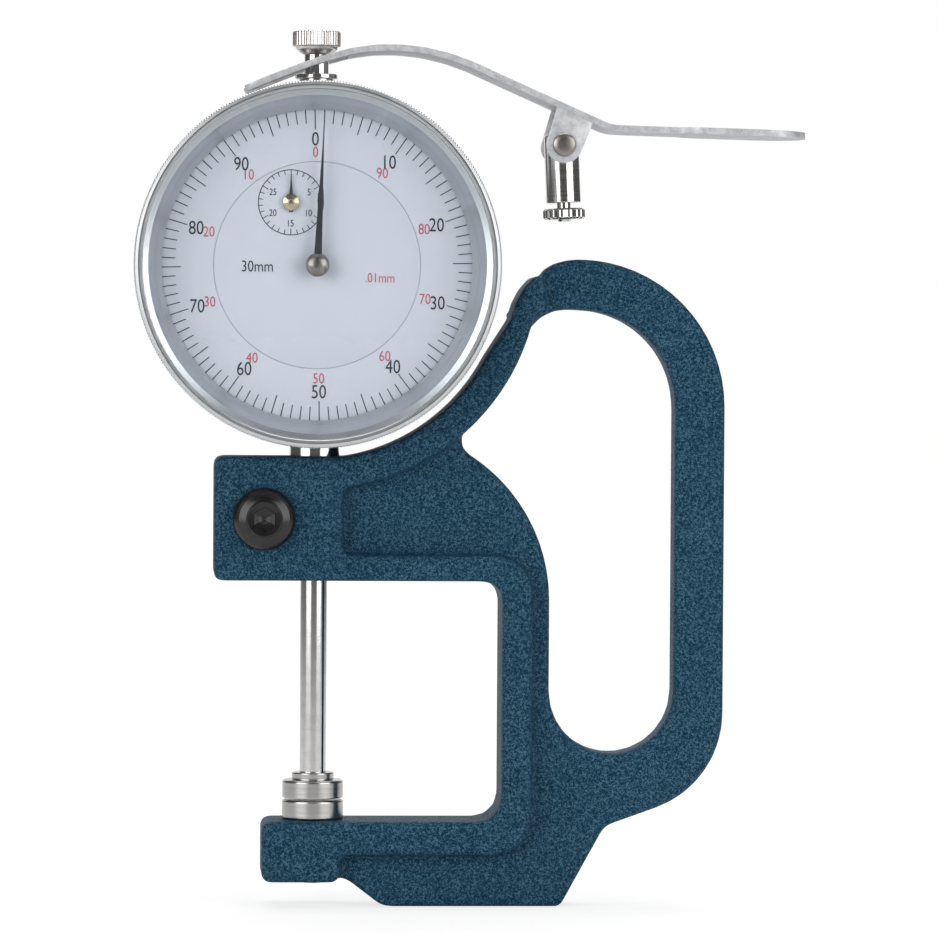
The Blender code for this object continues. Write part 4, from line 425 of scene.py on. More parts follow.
@dataclass
class Job:
    """A material in the making: its sheet, its shader, the place on the piece and the shared groups."""

    sheet: NodeSheet
    shader: Node
    place: Socket
    kit: Effects

    def effect(self, tree: Tree, **values: float) -> Any:
        """Lay a shared group at the piece's place.

        Args:
            tree: The group.
            values: Its numbers by input name.

        Returns:
            The outputs of the group's node.
        """
        return self.sheet.group(tree, Place=self.place, **values).outputs

    def coat(self, name: str, value: Any) -> None:
        """Give the shader's own socket a link or a constant."""
        self.sheet.feed(self.shader.inputs[name], value)

    def roughen(self, rough: Any, low: float, high: float, depth: float, scale: float) -> None:
        """Set the roughness, with smudges on top of it.

        Args:
            rough: Socket with the roughness of the clean surface.
            low: Smudges fainter than this don't show.
            high: Smudges stronger than this show in full.
            depth: What a full smudge adds.
            scale: Smudges to a metre.
        """
        smudge = self.effect(self.kit.handling, Scale=scale)["Smudge"]
        marks = self.sheet.spread(smudge, low, high, 0.0, depth)
        self.coat("Roughness", self.sheet.math("ADD", rough, marks, clamp=True))


class Finish:
    """A material by recipe: subclasses wire it, and each axis gets its own copy."""

    title: str
    slot: str

    def wire(self, job: Job) -> None:
        """Fill the shader's sockets."""
        raise NotImplementedError

    def make(self, kit: Effects, axis: Axis) -> bpy.types.Material:
        """Build the material.

        Args:
            kit: The shared shader groups.
            axis: The axis whose space the pattern is laid in.

        Returns:
            The material.
        """
        made, sheet, shader = fresh_material(self.title)
        laid = sheet.add("ShaderNodeMapping", vector_type="TEXTURE")
        laid.inputs["Location"].default_value = Vector((axis.x, axis.y, axis.z)) * MM
        laid.inputs["Rotation"].default_value = axis.turn
        sheet.wire(sheet.add("ShaderNodeTexCoord").outputs["Object"], laid.inputs["Vector"])
        self.wire(Job(sheet, shader, laid.outputs["Vector"], kit))
        return made


@dataclass(frozen=True)
class Metal(Finish):
    """Bare, plated or blackened metal with the marks of how it was made."""

    title: str
    slot: str
    colour: Colour
    shade: Colour
    roughness: float
    lay: Lay = Lay.TURNED
    metallic: float = 1.0
    line_scale: float = 5200.0
    line_depth: float = 0.006
    unevenness: float = 0.10
    smudge_depth: float = 0.08
    worn_colour: Colour = (0.85, 0.85, 0.84)
    worn_share: float = 0.35
    gloss: float = 0.5

    def lines(self, job: Job) -> tuple[Any, Any]:
        """The fine and the broad pattern of the metal.

        Args:
            job: The material in the making.

        Returns:
            The sockets of the fine and the broad pattern.
        """
        place = job.place
        if self.lay is Lay.BRUSHED:
            drawn = job.sheet.add("ShaderNodeMapping", vector_type="POINT")
            drawn.inputs["Scale"].default_value = (0.03, 1.0, 1.0)
            job.sheet.wire(place, drawn.inputs["Vector"])
            place = drawn.outputs["Vector"]
        tree = job.kit.lathe_lines if self.lay is Lay.TURNED else job.kit.fine_grain
        made = job.sheet.group(tree, Place=place, Scale=self.line_scale).outputs
        return made[0], made[1]

    def wire(self, job: Job) -> None:
        """Colour, roughness, worn edges and relief of the metal."""
        sheet = job.sheet
        fine, broad = self.lines(job)
        worn = job.effect(job.kit.edge_wear, Reach=0.05, Scale=700.0)["Worn_and_highlit"]
        base = sheet.blend(sheet.spread(fine, 0.3, 0.7, 0.0, 1.0), self.shade, self.colour)
        toned = sheet.blend(sheet.spread(broad, 0.3, 0.7, 0.0, 0.35), base, self.shade)
        edge_share = sheet.math("MULTIPLY", worn, self.worn_share)
        job.coat("Base Color", sheet.blend(edge_share, toned, self.worn_colour))
        job.coat("Metallic", self.metallic)
        job.coat("Specular IOR Level", self.gloss)
        low = self.roughness - self.unevenness / 2
        rough = sheet.spread(fine, 0.25, 0.75, low, low + self.unevenness)
        job.roughen(rough, 0.35, 0.75, self.smudge_depth, 110.0)
        job.coat("Normal", sheet.relief(fine, 0.5, self.line_depth * MM))


@dataclass(frozen=True)
class HammeredEnamel(Finish):
    """Blue hammered enamel: dark veins, lighter flecks and a shallow dimpled gloss."""

    title: str = "hammered_enamel"
    slot: str = "paint"
    dark: Colour = (0.0010, 0.022, 0.045)
    middle: Colour = (0.0075, 0.044, 0.080)
    light: Colour = (0.052, 0.120, 0.176)
    # Edge colour: partly rubbed paint, partly a painted edge highlight
    bare: Colour = (0.08, 0.12, 0.15)
    fleck_scale: float = 3200.0
    dimple_scale: float = 620.0
    roughness: float = 0.50
    dimple_depth: float = 0.04
    gloss: float = 0.09

    def wire(self, job: Job) -> None:
        """Flecks, veins, dimples, rubbed edges that also carry a painted edge highlight, and painted shade in
        the hollows.
        """
        sheet = job.sheet
        flecks = sheet.noise(job.place, self.fleck_scale, 1.0, 0.5, 1.2)
        mixed = sheet.ramp(flecks, ((0.40, self.dark), (0.50, self.middle), (0.62, self.light)))
        mottle = job.effect(job.kit.fine_grain, Scale=900.0)["Mottle"]
        toned = sheet.blend(sheet.spread(mottle, 0.3, 0.7, 0.0, 0.20), mixed, self.dark)
        wear_and_shade = job.effect(job.kit.edge_wear, Reach=0.10, Scale=500.0)
        # Convex edges lightened: partly worn paint, partly a painted edge highlight
        edged = sheet.blend(sheet.math("MULTIPLY", wear_and_shade["Worn_and_highlit"], 0.12), toned, self.bare)
        # Painted shade: the hollows are darkened towards the dark vein colour
        job.coat("Base Color", sheet.blend(sheet.math("MULTIPLY", wear_and_shade["Hollow"], 0.6), edged, self.dark))
        rough = sheet.spread(flecks, 0.3, 0.7, self.roughness + 0.10, self.roughness - 0.06)
        job.roughen(rough, 0.35, 0.75, 0.10, 60.0)
        cells = sheet.add("ShaderNodeTexVoronoi", feature="SMOOTH_F1")
        cells.inputs["Scale"].default_value = self.dimple_scale
        cells.inputs["Smoothness"].default_value = 0.8
        sheet.wire(job.place, cells.inputs["Vector"])
        dimples = sheet.relief(cells.outputs["Distance"], 0.5, self.dimple_depth * MM)
        job.coat("Normal", sheet.relief(flecks, 0.35, self.dimple_depth * MM / 2, dimples))
        job.coat("Specular IOR Level", self.gloss)


@dataclass(frozen=True)
class PrintedFace(Finish):
    """Matt printed face of the dial, or one ink on it."""

    title: str
    slot: str
    colour: Colour
    shade: Colour
    roughness: float = 0.5
    gloss: float = 0.35

    def wire(self, job: Job) -> None:
        """Faint unevenness of a print on metal."""
        sheet = job.sheet
        grain = job.effect(job.kit.fine_grain, Scale=7000.0)
        base = sheet.blend(sheet.spread(grain["Grain"], 0.3, 0.7, 0.0, 0.6), self.colour, self.shade)
        cloudy = sheet.spread(grain["Mottle"], 0.3, 0.7, 0.0, 0.4)
        job.coat("Base Color", sheet.blend(cloudy, base, self.shade))
        low, high = self.roughness - 0.06, self.roughness + 0.06
        job.coat("Roughness", sheet.spread(grain["Mottle"], 0.3, 0.7, low, high))
        job.coat("Normal", sheet.relief(grain["Grain"], 0.2, 0.002 * MM))
        job.coat("Specular IOR Level", self.gloss)


@dataclass(frozen=True)
class ClearCrystal(Finish):
    """Clear crystal that lets shadow light through, with a trace of dust and wiping marks."""

    title: str = "clear_crystal"
    slot: str = "crystal"
    tint: Colour = (0.93, 0.955, 0.965)
    wiped: Colour = (0.90, 0.93, 0.94)
    index: float = 1.49

    def wire(self, job: Job) -> None:
        """Transmission, fine wiping marks and light rays that pass straight."""
        sheet = job.sheet
        smudge = job.effect(job.kit.handling, Scale=70.0)["Smudge"]
        dust = job.effect(job.kit.fine_grain, Scale=2500.0)["Grain"]
        job.roughen(sheet.spread(dust, 0.70, 0.80, 0.0, 0.04), 0.4, 0.8, 0.02, 70.0)
        clear = sheet.blend(sheet.spread(smudge, 0.3, 0.8, 0.0, 0.25), self.tint, self.wiped)
        job.coat("Base Color", clear)
        job.coat("Transmission Weight", 1.0)
        job.coat("IOR", self.index)
        open_way = sheet.add("ShaderNodeBsdfTransparent")
        sheet.wire(clear, open_way.inputs["Color"])
        rays = sheet.add("ShaderNodeLightPath").outputs
        either = sheet.math("MAXIMUM", rays["Is Shadow Ray"], rays["Is Diffuse Ray"])
        sheet.choose(either, job.shader.outputs[0], open_way.outputs[0])


ENAMEL = HammeredEnamel()
GROUND_STEEL = Metal(
    "ground_steel", "steel", (0.58, 0.57, 0.555), (0.47, 0.465, 0.455), 0.11,
    line_depth=0.002, unevenness=0.05, smudge_depth=0.02,
)
FACE_STEEL = Metal(
    "face_steel", "steel", (0.46, 0.45, 0.44), (0.32, 0.315, 0.31), 0.22,
    line_depth=0.002, unevenness=0.06, smudge_depth=0.02,
)
CHROME = Metal(
    "bright_chrome", "chrome", (0.62, 0.595, 0.575), (0.50, 0.48, 0.465), 0.11,
    line_scale=3500.0, line_depth=0.003, unevenness=0.06, smudge_depth=0.06,
)
SATIN_ALLOY = Metal(
    "satin_alloy", "satin_alloy", (0.50, 0.51, 0.535), (0.33, 0.34, 0.365), 0.50,
    lay=Lay.CAST, metallic=0.6, line_scale=2400.0, line_depth=0.014, unevenness=0.14, worn_share=0.5,
)
KNOB_PLATING = Metal(
    "knob_plating", "chrome", (0.74, 0.70, 0.66), (0.60, 0.565, 0.54), 0.26,
    line_scale=3500.0, line_depth=0.004, unevenness=0.08,
)
PIN_STEEL = Metal(
    "pin_steel", "chrome", (0.26, 0.235, 0.215), (0.19, 0.175, 0.16), 0.30,
    line_scale=3500.0, line_depth=0.004, unevenness=0.10, worn_share=0.5,
)
CASE_ALLOY = Metal(
    "turned_case_alloy", "satin_alloy", (0.46, 0.475, 0.485), (0.36, 0.37, 0.38), 0.36,
    line_scale=3200.0, line_depth=0.008, unevenness=0.14,
)
BEZEL_ALLOY = Metal(
    "bezel_alloy", "bezel_grey", (0.62, 0.635, 0.65), (0.50, 0.515, 0.53), 0.32,
    line_scale=3600.0, line_depth=0.006, unevenness=0.12, worn_share=0.25,
)
BLACK_OXIDE = Metal(
    "black_oxide", "black_oxide", (0.006, 0.006, 0.007), (0.003, 0.003, 0.004), 0.24,
    metallic=0.0, line_scale=3000.0, line_depth=0.003, smudge_depth=0.03,
    worn_colour=(0.05, 0.05, 0.05), worn_share=0.3,
)
BRASS = Metal(
    "clock_brass", "brass", (0.74, 0.56, 0.28), (0.58, 0.42, 0.20), 0.26,
    lay=Lay.BRUSHED, line_scale=2600.0, worn_colour=(0.86, 0.72, 0.46),
)
HUB_BRASS = Metal("hub_brass", "brass", (0.66, 0.58, 0.42), (0.50, 0.43, 0.30), 0.18)
HUB_STEEL = Metal("hub_steel", "steel", (0.30, 0.275, 0.25), (0.22, 0.20, 0.185), 0.26)
WIRE_STEEL = Metal(
    "spring_steel", "steel", (0.34, 0.35, 0.38), (0.22, 0.23, 0.26), 0.24, lay=Lay.CAST, line_scale=6000.0,
)
HAND_BLACK = PrintedFace("hand_black", "hand_black", (0.016, 0.017, 0.024), (0.030, 0.031, 0.040), 0.38, 0.5)
DIAL_WHITE = PrintedFace("dial_white", "dial_white", (0.71, 0.705, 0.77), (0.665, 0.66, 0.725))
BLACK_INK = PrintedFace("black_ink", "hand_black", (0.020, 0.022, 0.028), (0.045, 0.048, 0.056))
GREY_INK = PrintedFace("grey_ink", "hand_black", (0.50, 0.52, 0.57), (0.55, 0.57, 0.62))
RED_INK = PrintedFace("red_ink", "dial_white", (0.56, 0.10, 0.14), (0.62, 0.16, 0.20))
CRYSTAL = ClearCrystal()


class Paintbox:
    """Makes each finish once for each axis and hands it out."""

    def __init__(self) -> None:
        """Build the shared shader groups."""
        self.kit = Effects()
        self.made: dict[tuple[Finish, Axis], bpy.types.Material] = {}

    def get(self, finish: Finish, axis: Axis) -> bpy.types.Material:
        """The material of a finish about an axis."""
        key = (finish, axis)
        if key not in self.made:
            self.made[key] = finish.make(self.kit, axis)
        return self.made[key]


# Workpieces

def placed(name: str, data: bpy.types.ID) -> bpy.types.Object:
    """A new object in the scene that shows the data."""
    made = bpy.data.objects.new(name, data)
    bpy.context.scene.collection.objects.link(made)
    return made


def mesh_from(name: str, mesh: bmesh.types.BMesh) -> bpy.types.Mesh:
    """Mesh data made from an edit mesh, which is freed."""
    data = bpy.data.meshes.new(name)
    mesh.to_mesh(data)
    mesh.free()
    return data


def baked(piece: bpy.types.Object) -> bpy.types.Mesh:
    """The object's mesh with its modifiers applied; the object itself is removed."""
    graph = bpy.context.evaluated_depsgraph_get()
    mesh = bpy.data.meshes.new_from_object(piece.evaluated_get(graph))
    bpy.data.objects.remove(piece)
    return mesh


class Workpiece:
    """A piece in the making: a mesh in its axis's own space, in millimetres."""

    # A face longer than this gets a ring this far from each end, in millimetres
    long_face = 0.5
    end_ring = 0.04

    def __init__(self, box: Paintbox, axis: Axis = GAUGE_AXIS) -> None:
        """Start an empty mesh.

        Args:
            box: Where finishes come from.
            axis: The axis whose space the piece is made in.
        """
        self.box = box
        self.axis = axis
        self.mesh = bmesh.new()

    def lathe(
        self, profile: Sequence[Point], columns: int = 96, closed: bool = False, flat: bool = True
    ) -> "Workpiece":
        """Turn a profile about the axis.

        Args:
            profile: Radius and height of each point.
            columns: How many columns of faces the turn has.
            closed: Whether the profile's ends are joined, as for a ring.
            flat: Whether long faces get a ring near each end, which keeps their shading flat.

        Returns:
            This workpiece.
        """
        points: list[Point] = []
        for first, second in zip(profile, [*profile[1:], profile[0]]):
            points.append(first)
            length = math.dist(first, second)
            if flat and length > self.long_face and (closed or second is not profile[0]):
                for share in (self.end_ring / length, 1 - self.end_ring / length):
                    points.append(tuple(a + (b - a) * share for a, b in zip(first, second)))
        verts = [self.mesh.verts.new((radius, 0.0, height)) for radius, height in points]
        pairs = list(zip(verts, verts[1:])) + ([(verts[-1], verts[0])] if closed else [])
        edges = [self.mesh.edges.new(pair) for pair in pairs]
        bmesh.ops.spin(
            self.mesh, geom=verts + edges, cent=(0, 0, 0), axis=(0, 0, 1), dvec=(0, 0, 0),
            angle=FULL_TURN, steps=columns, use_merge=True,
        )
        return self.close()

    def close(self) -> "Workpiece":
        """Merge doubles and turn the faces outwards."""
        bmesh.ops.remove_doubles(self.mesh, verts=self.mesh.verts, dist=WELD)
        bmesh.ops.recalc_face_normals(self.mesh, faces=self.mesh.faces)
        return self

    def plate(self, outline: Sequence[Point], back: float, front: float, edge: float = 0.0) -> "Workpiece":
        """Cut a plate to an outline.

        Args:
            outline: Its outline in the axis's XY plane.
            back: Height of its back.
            front: Height of its front.
            edge: Width of the bevel round its faces.

        Returns:
            This workpiece.
        """
        verts = [self.mesh.verts.new((x, y, back)) for x, y in outline]
        base = self.mesh.faces.new(verts)
        base.normal_update()
        grown = bmesh.ops.extrude_face_region(self.mesh, geom=[base], use_keep_orig=True)
        moved = [item for item in grown["geom"] if isinstance(item, bmesh.types.BMVert)]
        bmesh.ops.translate(self.mesh, verts=moved, vec=(0.0, 0.0, front - back))
        bmesh.ops.recalc_face_normals(self.mesh, faces=self.mesh.faces)
        if edge > 0.0:
            self.ease(edge, 2, math.radians(60))
        return self

    def bar(self, size: Sequence[float], middle: Sequence[float], turn: float = 0.0) -> "Workpiece":
        """Add a small bar, turned about the axis.

        Args:
            size: Its width, length and height.
            middle: Its middle before it is turned.
            turn: Angle about the axis, anticlockwise.

        Returns:
            This workpiece.
        """
        place = Matrix.Rotation(turn, 4, "Z") @ Matrix.Translation(middle) @ Matrix.Diagonal((*size, 1.0))
        bmesh.ops.create_cube(self.mesh, size=1.0, matrix=place)
        return self

    def ease(self, width: float, segments: int = 2, sharper_than: float = math.radians(30)) -> "Workpiece":
        """Round the edges that are sharper than an angle."""
        sharp = [
            edge for edge in self.mesh.edges
            if len(edge.link_faces) == 2 and edge.calc_face_angle(0.0) > sharper_than
        ]
        bmesh.ops.bevel(
            self.mesh, geom=sharp, offset=width, offset_type="OFFSET", segments=segments,
            profile=0.5, affect="EDGES", clamp_overlap=True, material=-1,
        )
        return self

    def flute(
        self, count: int, depth: float, outside: float, low: float, high: float, power: float = 1.0
    ) -> "Workpiece":
        """Press grooves along the axis into the piece's side.

        Args:
            count: How many grooves there are.
            depth: Their depth.
            outside: Points nearer to the axis than this stay.
            low: Points below this stay.
            high: Points above this stay.
            power: Above 1 the lands between the grooves get wider.

        Returns:
            This workpiece.
        """
        for vert in self.mesh.verts:
            radius = math.hypot(vert.co.x, vert.co.y)
            if radius < outside or not low <= vert.co.z <= high:
                continue
            angle = math.atan2(vert.co.y, vert.co.x)
            share = (0.5 - 0.5 * math.cos(count * angle)) ** power
            factor = (radius - depth * share) / radius
            vert.co.x *= factor
            vert.co.y *= factor
        return self

    def add_mesh(self, mesh: bpy.types.Mesh, place: Matrix) -> "Workpiece":
        """Add a ready mesh, put in its place first."""
        mesh.transform(place)
        self.mesh.from_mesh(mesh)
        bpy.data.meshes.remove(mesh)
        return self

    def finish(
        self, name: str, body: str, finish: Finish, replaces: Sequence[str] = (),
        smooth_angle: float = 35.0,
    ) -> bpy.types.Object:
        """Put the piece in its place and make an object of it.

        Args:
            name: Name of the object.
            body: Body that it rides on.
            finish: Its finish.
            replaces: CAD nodes that it stands for.
            smooth_angle: Edges sharper than this stay sharp, in degrees.

        Returns:
            The object.
        """
        self.mesh.transform(Matrix.Scale(MM, 4) @ self.axis.matrix())
        data = mesh_from(name, self.mesh)
        data.shade_smooth()
        data.set_sharp_from_angle(angle=math.radians(smooth_angle))
        made = placed(name, data)
        data.materials.append(self.box.get(finish, self.axis))
        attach(made, body)
        if replaces:
            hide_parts(*replaces)
        count = sum(len(face.vertices) - 2 for face in data.polygons)
        log.info("%s: %d triangles, on %s", name, count, body)
        return made


# Sub-assemblies

@dataclass
class CastFrame:
    """The cast frame, softened as a casting under enamel is, with its clamp screw and anvil."""

    box: Paintbox
    voxel: float = 0.42
    passes: int = 7
    soften: float = 0.5
    head_radius: float = 5.0
    head_height: float = 3.3
    head_seat: float = 7.02
    hex_flats: float = 3.3
    hex_depth: float = 2.0
    face_radius: float = 2.70
    dome_base: float = 0.9
    dome_degrees: tuple[int, ...] = (54, 46, 36, 26, 16, 8, 0)
    anvil_radius: float = 4.95
    anvil_base: float = 13.87
    anvil_top: float = 17.0
    anvil_edge: float = 0.35
    shank_radius: float = 2.65
    shank_base: float = 4.1
    shank_dome: float = 0.6

    def build_casting(self) -> None:
        """Remesh a merged copy of the CAD frame finely and smooth it."""
        work = Workpiece(self.box)
        work.mesh.from_mesh(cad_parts["frame"].data)
        work.mesh.transform(Matrix.Scale(1 / MM, 4))
        holder = placed("casting_draft", mesh_from("casting_draft", work.close().mesh))
        remesh = holder.modifiers.new("skin", "REMESH")
        remesh.mode = "VOXEL"
        remesh.voxel_size = self.voxel
        smooth = holder.modifiers.new("soften", "SMOOTH")
        smooth.factor = self.soften
        smooth.iterations = self.passes
        casting = Workpiece(self.box).add_mesh(baked(holder), Matrix.Identity(4))
        casting.finish("casting", "frame", ENAMEL, ("frame",), smooth_angle=80.0)

    def build_clamp_screw(self) -> None:
        """Button-head screw with a hexagon socket."""
        seat = self.head_seat
        crown = seat + self.head_height
        apothem = self.hex_flats / 2
        corner = apothem / math.cos(math.pi / 6)
        floor = crown - self.hex_depth
        rise = self.head_height - self.dome_base
        profile = [
            (0.0, floor - 0.5), (corner * 0.5, floor - 0.2), (corner, floor), (corner, crown - 0.25),
            (corner + 0.12, crown - 0.08), (self.face_radius, crown), (self.face_radius + 0.16, crown - 0.12),
        ]
        for angle in (math.radians(degrees) for degrees in self.dome_degrees):
            height = seat + self.dome_base + rise * math.sin(angle)
            profile.append((self.head_radius * math.cos(angle), height))
        profile += [(self.head_radius, seat), (self.face_radius, seat)]
        screw = Workpiece(self.box, CLAMP_AXIS).lathe(profile, 96)
        for vert in screw.mesh.verts:
            radius = math.hypot(vert.co.x, vert.co.y)
            if 0.01 < radius <= corner + 0.2:
                angle = math.atan2(vert.co.y, vert.co.x)
                sector = (angle + math.pi / 6) % (math.pi / 3) - math.pi / 6
                factor = apothem / math.cos(sector) / corner
                vert.co.x *= factor
                vert.co.y *= factor
        screw.finish("clamp_screw_head", "frame", BLACK_OXIDE, ("clamp_screw",))

    def build_anvil(self) -> None:
        """Flat anvil with the domed end of its shank under the boss."""
        base = self.shank_base
        dome = arc((0.0, base - 0.05), 1.0, 0.0, -math.pi / 2, 8)
        profile = rounded([
            (0.0, self.anvil_top, 0.0), (self.anvil_radius, self.anvil_top, self.anvil_edge),
            (self.anvil_radius, self.anvil_base, self.anvil_edge), (self.shank_radius, self.anvil_base, 0.0),
            (self.shank_radius, base, 0.0),
        ], 0.1, closed=False)
        profile += [(x * self.shank_radius, base + (y - base) * self.shank_dome) for x, y in dome[1:-1]]
        profile += [(0.0, base - self.shank_dome)]
        anvil = Workpiece(self.box, SPINDLE_AXIS).lathe(profile, 96)
        anvil.finish("ground_anvil", "frame", FACE_STEEL, ("anvil",))

    def build(self) -> None:
        """Build the casting and what is fixed in it."""
        self.build_casting()
        self.build_clamp_screw()
        self.build_anvil()


@dataclass
class Measuring:
    """Stem, bush, spindle with its rack, contact and lifting knob."""

    box: Paintbox
    stem_radius: float = 4.0
    stem_base: float = 52.55
    stem_top: float = 75.7
    spindle_radius: float = 2.13
    spindle_base: float = 21.3
    shoulder: float = 76.0
    rod_radius: float = 1.95
    rod_top: float = 136.6
    rack_low: float = 80.0
    rack_pitch: float = 0.625
    rack_tooth_count: int = 53
    rack_tip: float = 1.66
    rack_root: float = 1.27
    tooth_shares: tuple[float, ...] = (0.0, 0.28, 0.42, 0.86)
    contact_radius: float = 4.9
    contact_base: float = 17.3
    contact_height: float = 2.9
    hub_radius: float = 3.4
    hub_top: float = 21.4
    bush_radius: float = 2.75
    collar_radius: float = 3.4
    collar_height: float = 0.78
    bush_base: float = 129.5
    bush_seat: float = 131.1
    bush_top: float = 133.4
    knob_radius: float = 3.85
    knob_base: float = 136.5
    knob_rim: float = 137.85
    knob_top: float = 140.3
    knob_grooves: int = 36
    groove_depth: float = 0.12

    def build_stem(self) -> None:
        """Stem between the case and the clamp."""
        bore = self.spindle_radius + 0.06
        profile = rounded([
            (bore, self.stem_base, 0.1), (self.stem_radius, self.stem_base, 0.25),
            (self.stem_radius, self.stem_top, 0.25), (bore, self.stem_top, 0.1),
        ], 0.1)
        stem = Workpiece(self.box, SPINDLE_AXIS).lathe(profile, 96, closed=True)
        stem.finish("ground_stem", "frame", GROUND_STEEL, ("stem",))

    def build_bush(self) -> None:
        """Bush that guides the spindle out at the top, with a collar."""
        bore = self.rod_radius + 0.06
        under = self.bush_top - self.collar_height
        profile = rounded([
            (bore, self.bush_top - 0.3, 0.0), (bore + 0.2, self.bush_top, 0.05),
            (self.collar_radius, self.bush_top, 0.14), (self.collar_radius, under, 0.14),
            (self.bush_radius, under, 0.05), (self.bush_radius, self.bush_seat, 0.0),
            (2.6, self.bush_seat, 0.0), (2.6, self.bush_base, 0.0), (bore, self.bush_base, 0.0),
        ], 0.1)
        bush = Workpiece(self.box, SPINDLE_AXIS).lathe(profile, 72, closed=True)
        bush.finish("turned_bush", "frame", CHROME, ("top_bush",))

    def build_spindle(self) -> None:
        """Spindle: ground lower rod and upper rod with the rack's teeth cut in its side."""
        profile: list[Point] = [(0.0, self.spindle_base), (self.spindle_radius, self.spindle_base)]
        profile += [(self.spindle_radius, self.shoulder), (self.rod_radius, self.shoulder)]
        rings: list[tuple[float, float]] = []
        for tooth in range(self.rack_tooth_count):
            foot = self.rack_low + tooth * self.rack_pitch
            edges = (self.rack_root, self.rack_root, self.rack_tip, self.rack_tip)
            for share, line in zip(self.tooth_shares, edges):
                rings.append((foot + share * self.rack_pitch, line))
        profile += [(self.rod_radius, height) for height, _ in rings]
        profile += [(self.rod_radius, self.rod_top), (0.0, self.rod_top)]
        spindle = Workpiece(self.box, SPINDLE_AXIS).lathe(profile, 48)
        lines = {round(height, 3): line for height, line in rings}
        for vert in spindle.mesh.verts:
            line = lines.get(round(vert.co.z, 3))
            if line is not None and vert.co.x < -line:
                vert.co.x = -line
        spindle.finish("ground_spindle", "spindle", GROUND_STEEL, ("spindle",))

    def build_contact(self) -> None:
        """Flat contact with its hub."""
        rise = self.contact_base + self.contact_height
        profile = rounded([
            (0.0, self.hub_top, 0.0), (self.hub_radius, self.hub_top, 0.22),
            (self.hub_radius - 0.05, rise, 0.1),
            (self.contact_radius, rise, 0.42), (self.contact_radius, self.contact_base, 0.12),
            (0.0, self.contact_base, 0.0),
        ], 0.1, closed=False)
        contact = Workpiece(self.box, SPINDLE_AXIS).lathe(profile, 96)
        contact.finish("flat_contact", "spindle", FACE_STEEL, ("contact",))

    def build_knob(self) -> None:
        """Lifting knob with a grooved rim over a cone."""
        rod = self.rod_radius
        profile = rounded([
            (0.0, self.knob_top, 0.0), (self.knob_radius, self.knob_top, 0.32),
            (self.knob_radius, self.knob_rim, 0.16), (self.knob_radius - 0.4, self.knob_rim - 0.02, 0.06),
            (self.knob_radius - 0.55, self.knob_rim - 0.5, 0.6), (rod + 0.5, self.knob_base + 0.25, 0.6),
            (rod, self.knob_base, 0.05), (0.0, self.knob_base, 0.0),
        ], 0.08, closed=False)
        sides: list[Point] = []
        for (x0, y0), (x1, y1) in zip(profile, profile[1:]):
            steps = 3 if abs(y1 - y0) > 1.0 else 1
            sides += [(x0 + (x1 - x0) * part / steps, y0 + (y1 - y0) * part / steps) for part in range(steps)]
        sides.append(profile[-1])
        knob = Workpiece(self.box, SPINDLE_AXIS).lathe(sides, self.knob_grooves * 8)
        inside, low = self.knob_radius - 0.35, self.knob_rim - 0.3
        knob.flute(self.knob_grooves, self.groove_depth, inside, low, self.knob_top + 1.0, 1.5)
        knob.finish("grooved_knob", "spindle", KNOB_PLATING, ("lift_knob",))

    def build(self) -> None:
        """Build every piece on the spindle's axis."""
        self.build_stem()
        self.build_bush()
        self.build_spindle()
        self.build_contact()
        self.build_knob()


@dataclass
class Case:
    """Case of the indicator with its back cover and screws."""

    box: Paintbox
    radius: float = 28.6
    spigot_radius: float = 27.55
    bore: float = 26.6
    flange_bore: float = 21.6
    front: float = 6.2
    spigot_front: float = 8.8
    back: float = -8.5
    flange_front: float = -6.7
    cover_radius: float = 27.6
    cover_back: float = -10.4
    cover_seat: float = -8.55
    screw_circle: float = 24.6
    screw_radius: float = 1.7
    screw_height: float = 0.9
    half_sweep: float = 1.42

    def build_case(self) -> None:
        """Case ring with rounded edges and a spigot for the bezel."""
        profile = rounded([
            (self.bore, self.spigot_front, 0.1), (self.spigot_radius, self.spigot_front, 0.2),
            (self.spigot_radius, self.front, 0.1), (self.radius, self.front, 0.3),
            (self.radius, self.back, 1.6), (self.flange_bore, self.back, 0.2),
            (self.flange_bore, self.flange_front, 0.1), (self.bore, self.flange_front, 0.3),
        ], 0.2)
        case = Workpiece(self.box, DIAL_AXIS).lathe(profile, 160, closed=True)
        case.finish("turned_case", "frame", CASE_ALLOY, ("case_body",))

    def build_cover(self) -> None:
        """Back cover with a rounded edge and a shallow step."""
        profile = rounded([
            (0.0, self.cover_back + 0.25, 0.0), (self.screw_circle - 6.6, self.cover_back + 0.25, 0.2),
            (self.screw_circle - 6.3, self.cover_back, 0.2), (self.cover_radius, self.cover_back, 0.75),
            (self.cover_radius, self.cover_seat, 0.0), (21.2, self.cover_seat, 0.0),
            (21.2, self.flange_front, 0.1), (0.0, self.flange_front, 0.0),
        ], 0.2, closed=False)
        cover = Workpiece(self.box, DIAL_AXIS).lathe(profile, 160)
        cover.finish("back_plate", "frame", CASE_ALLOY, ("back_cover",))

    def build_screw(self, index: int) -> None:
        """One slotted screw of the back cover.

        Args:
            index: Which of the four it is, from 0.
        """
        angle = math.pi / 4 + index * math.pi / 2
        x = DIAL_AXIS.x + self.screw_circle * math.cos(angle)
        z = DIAL_AXIS.z + self.screw_circle * math.sin(angle)
        axis = Axis(x, 0.0, z, (-math.pi / 2, 0.0, 0.0))
        base = -self.cover_back + 0.02
        crown = base + self.screw_height
        head = Workpiece(self.box, axis)
        half = arc((0.0, 0.0), self.screw_radius, -self.half_sweep, self.half_sweep, 28)
        for side in (1, -1):
            head.plate([(side * a, side * b) for a, b in half], base, crown - 0.18, 0.14)
        head.lathe(section(0.0, self.screw_radius - 0.02, base + 0.42, base), 48)
        head.finish(f"slotted_screw_{index + 1}", "frame", GROUND_STEEL, (f"cover_screw_{index + 1}",))

    def build(self) -> None:
        """Build the case, its cover and its screws."""
        self.build_case()
        self.build_cover()
        for index in range(4):
            self.build_screw(index)


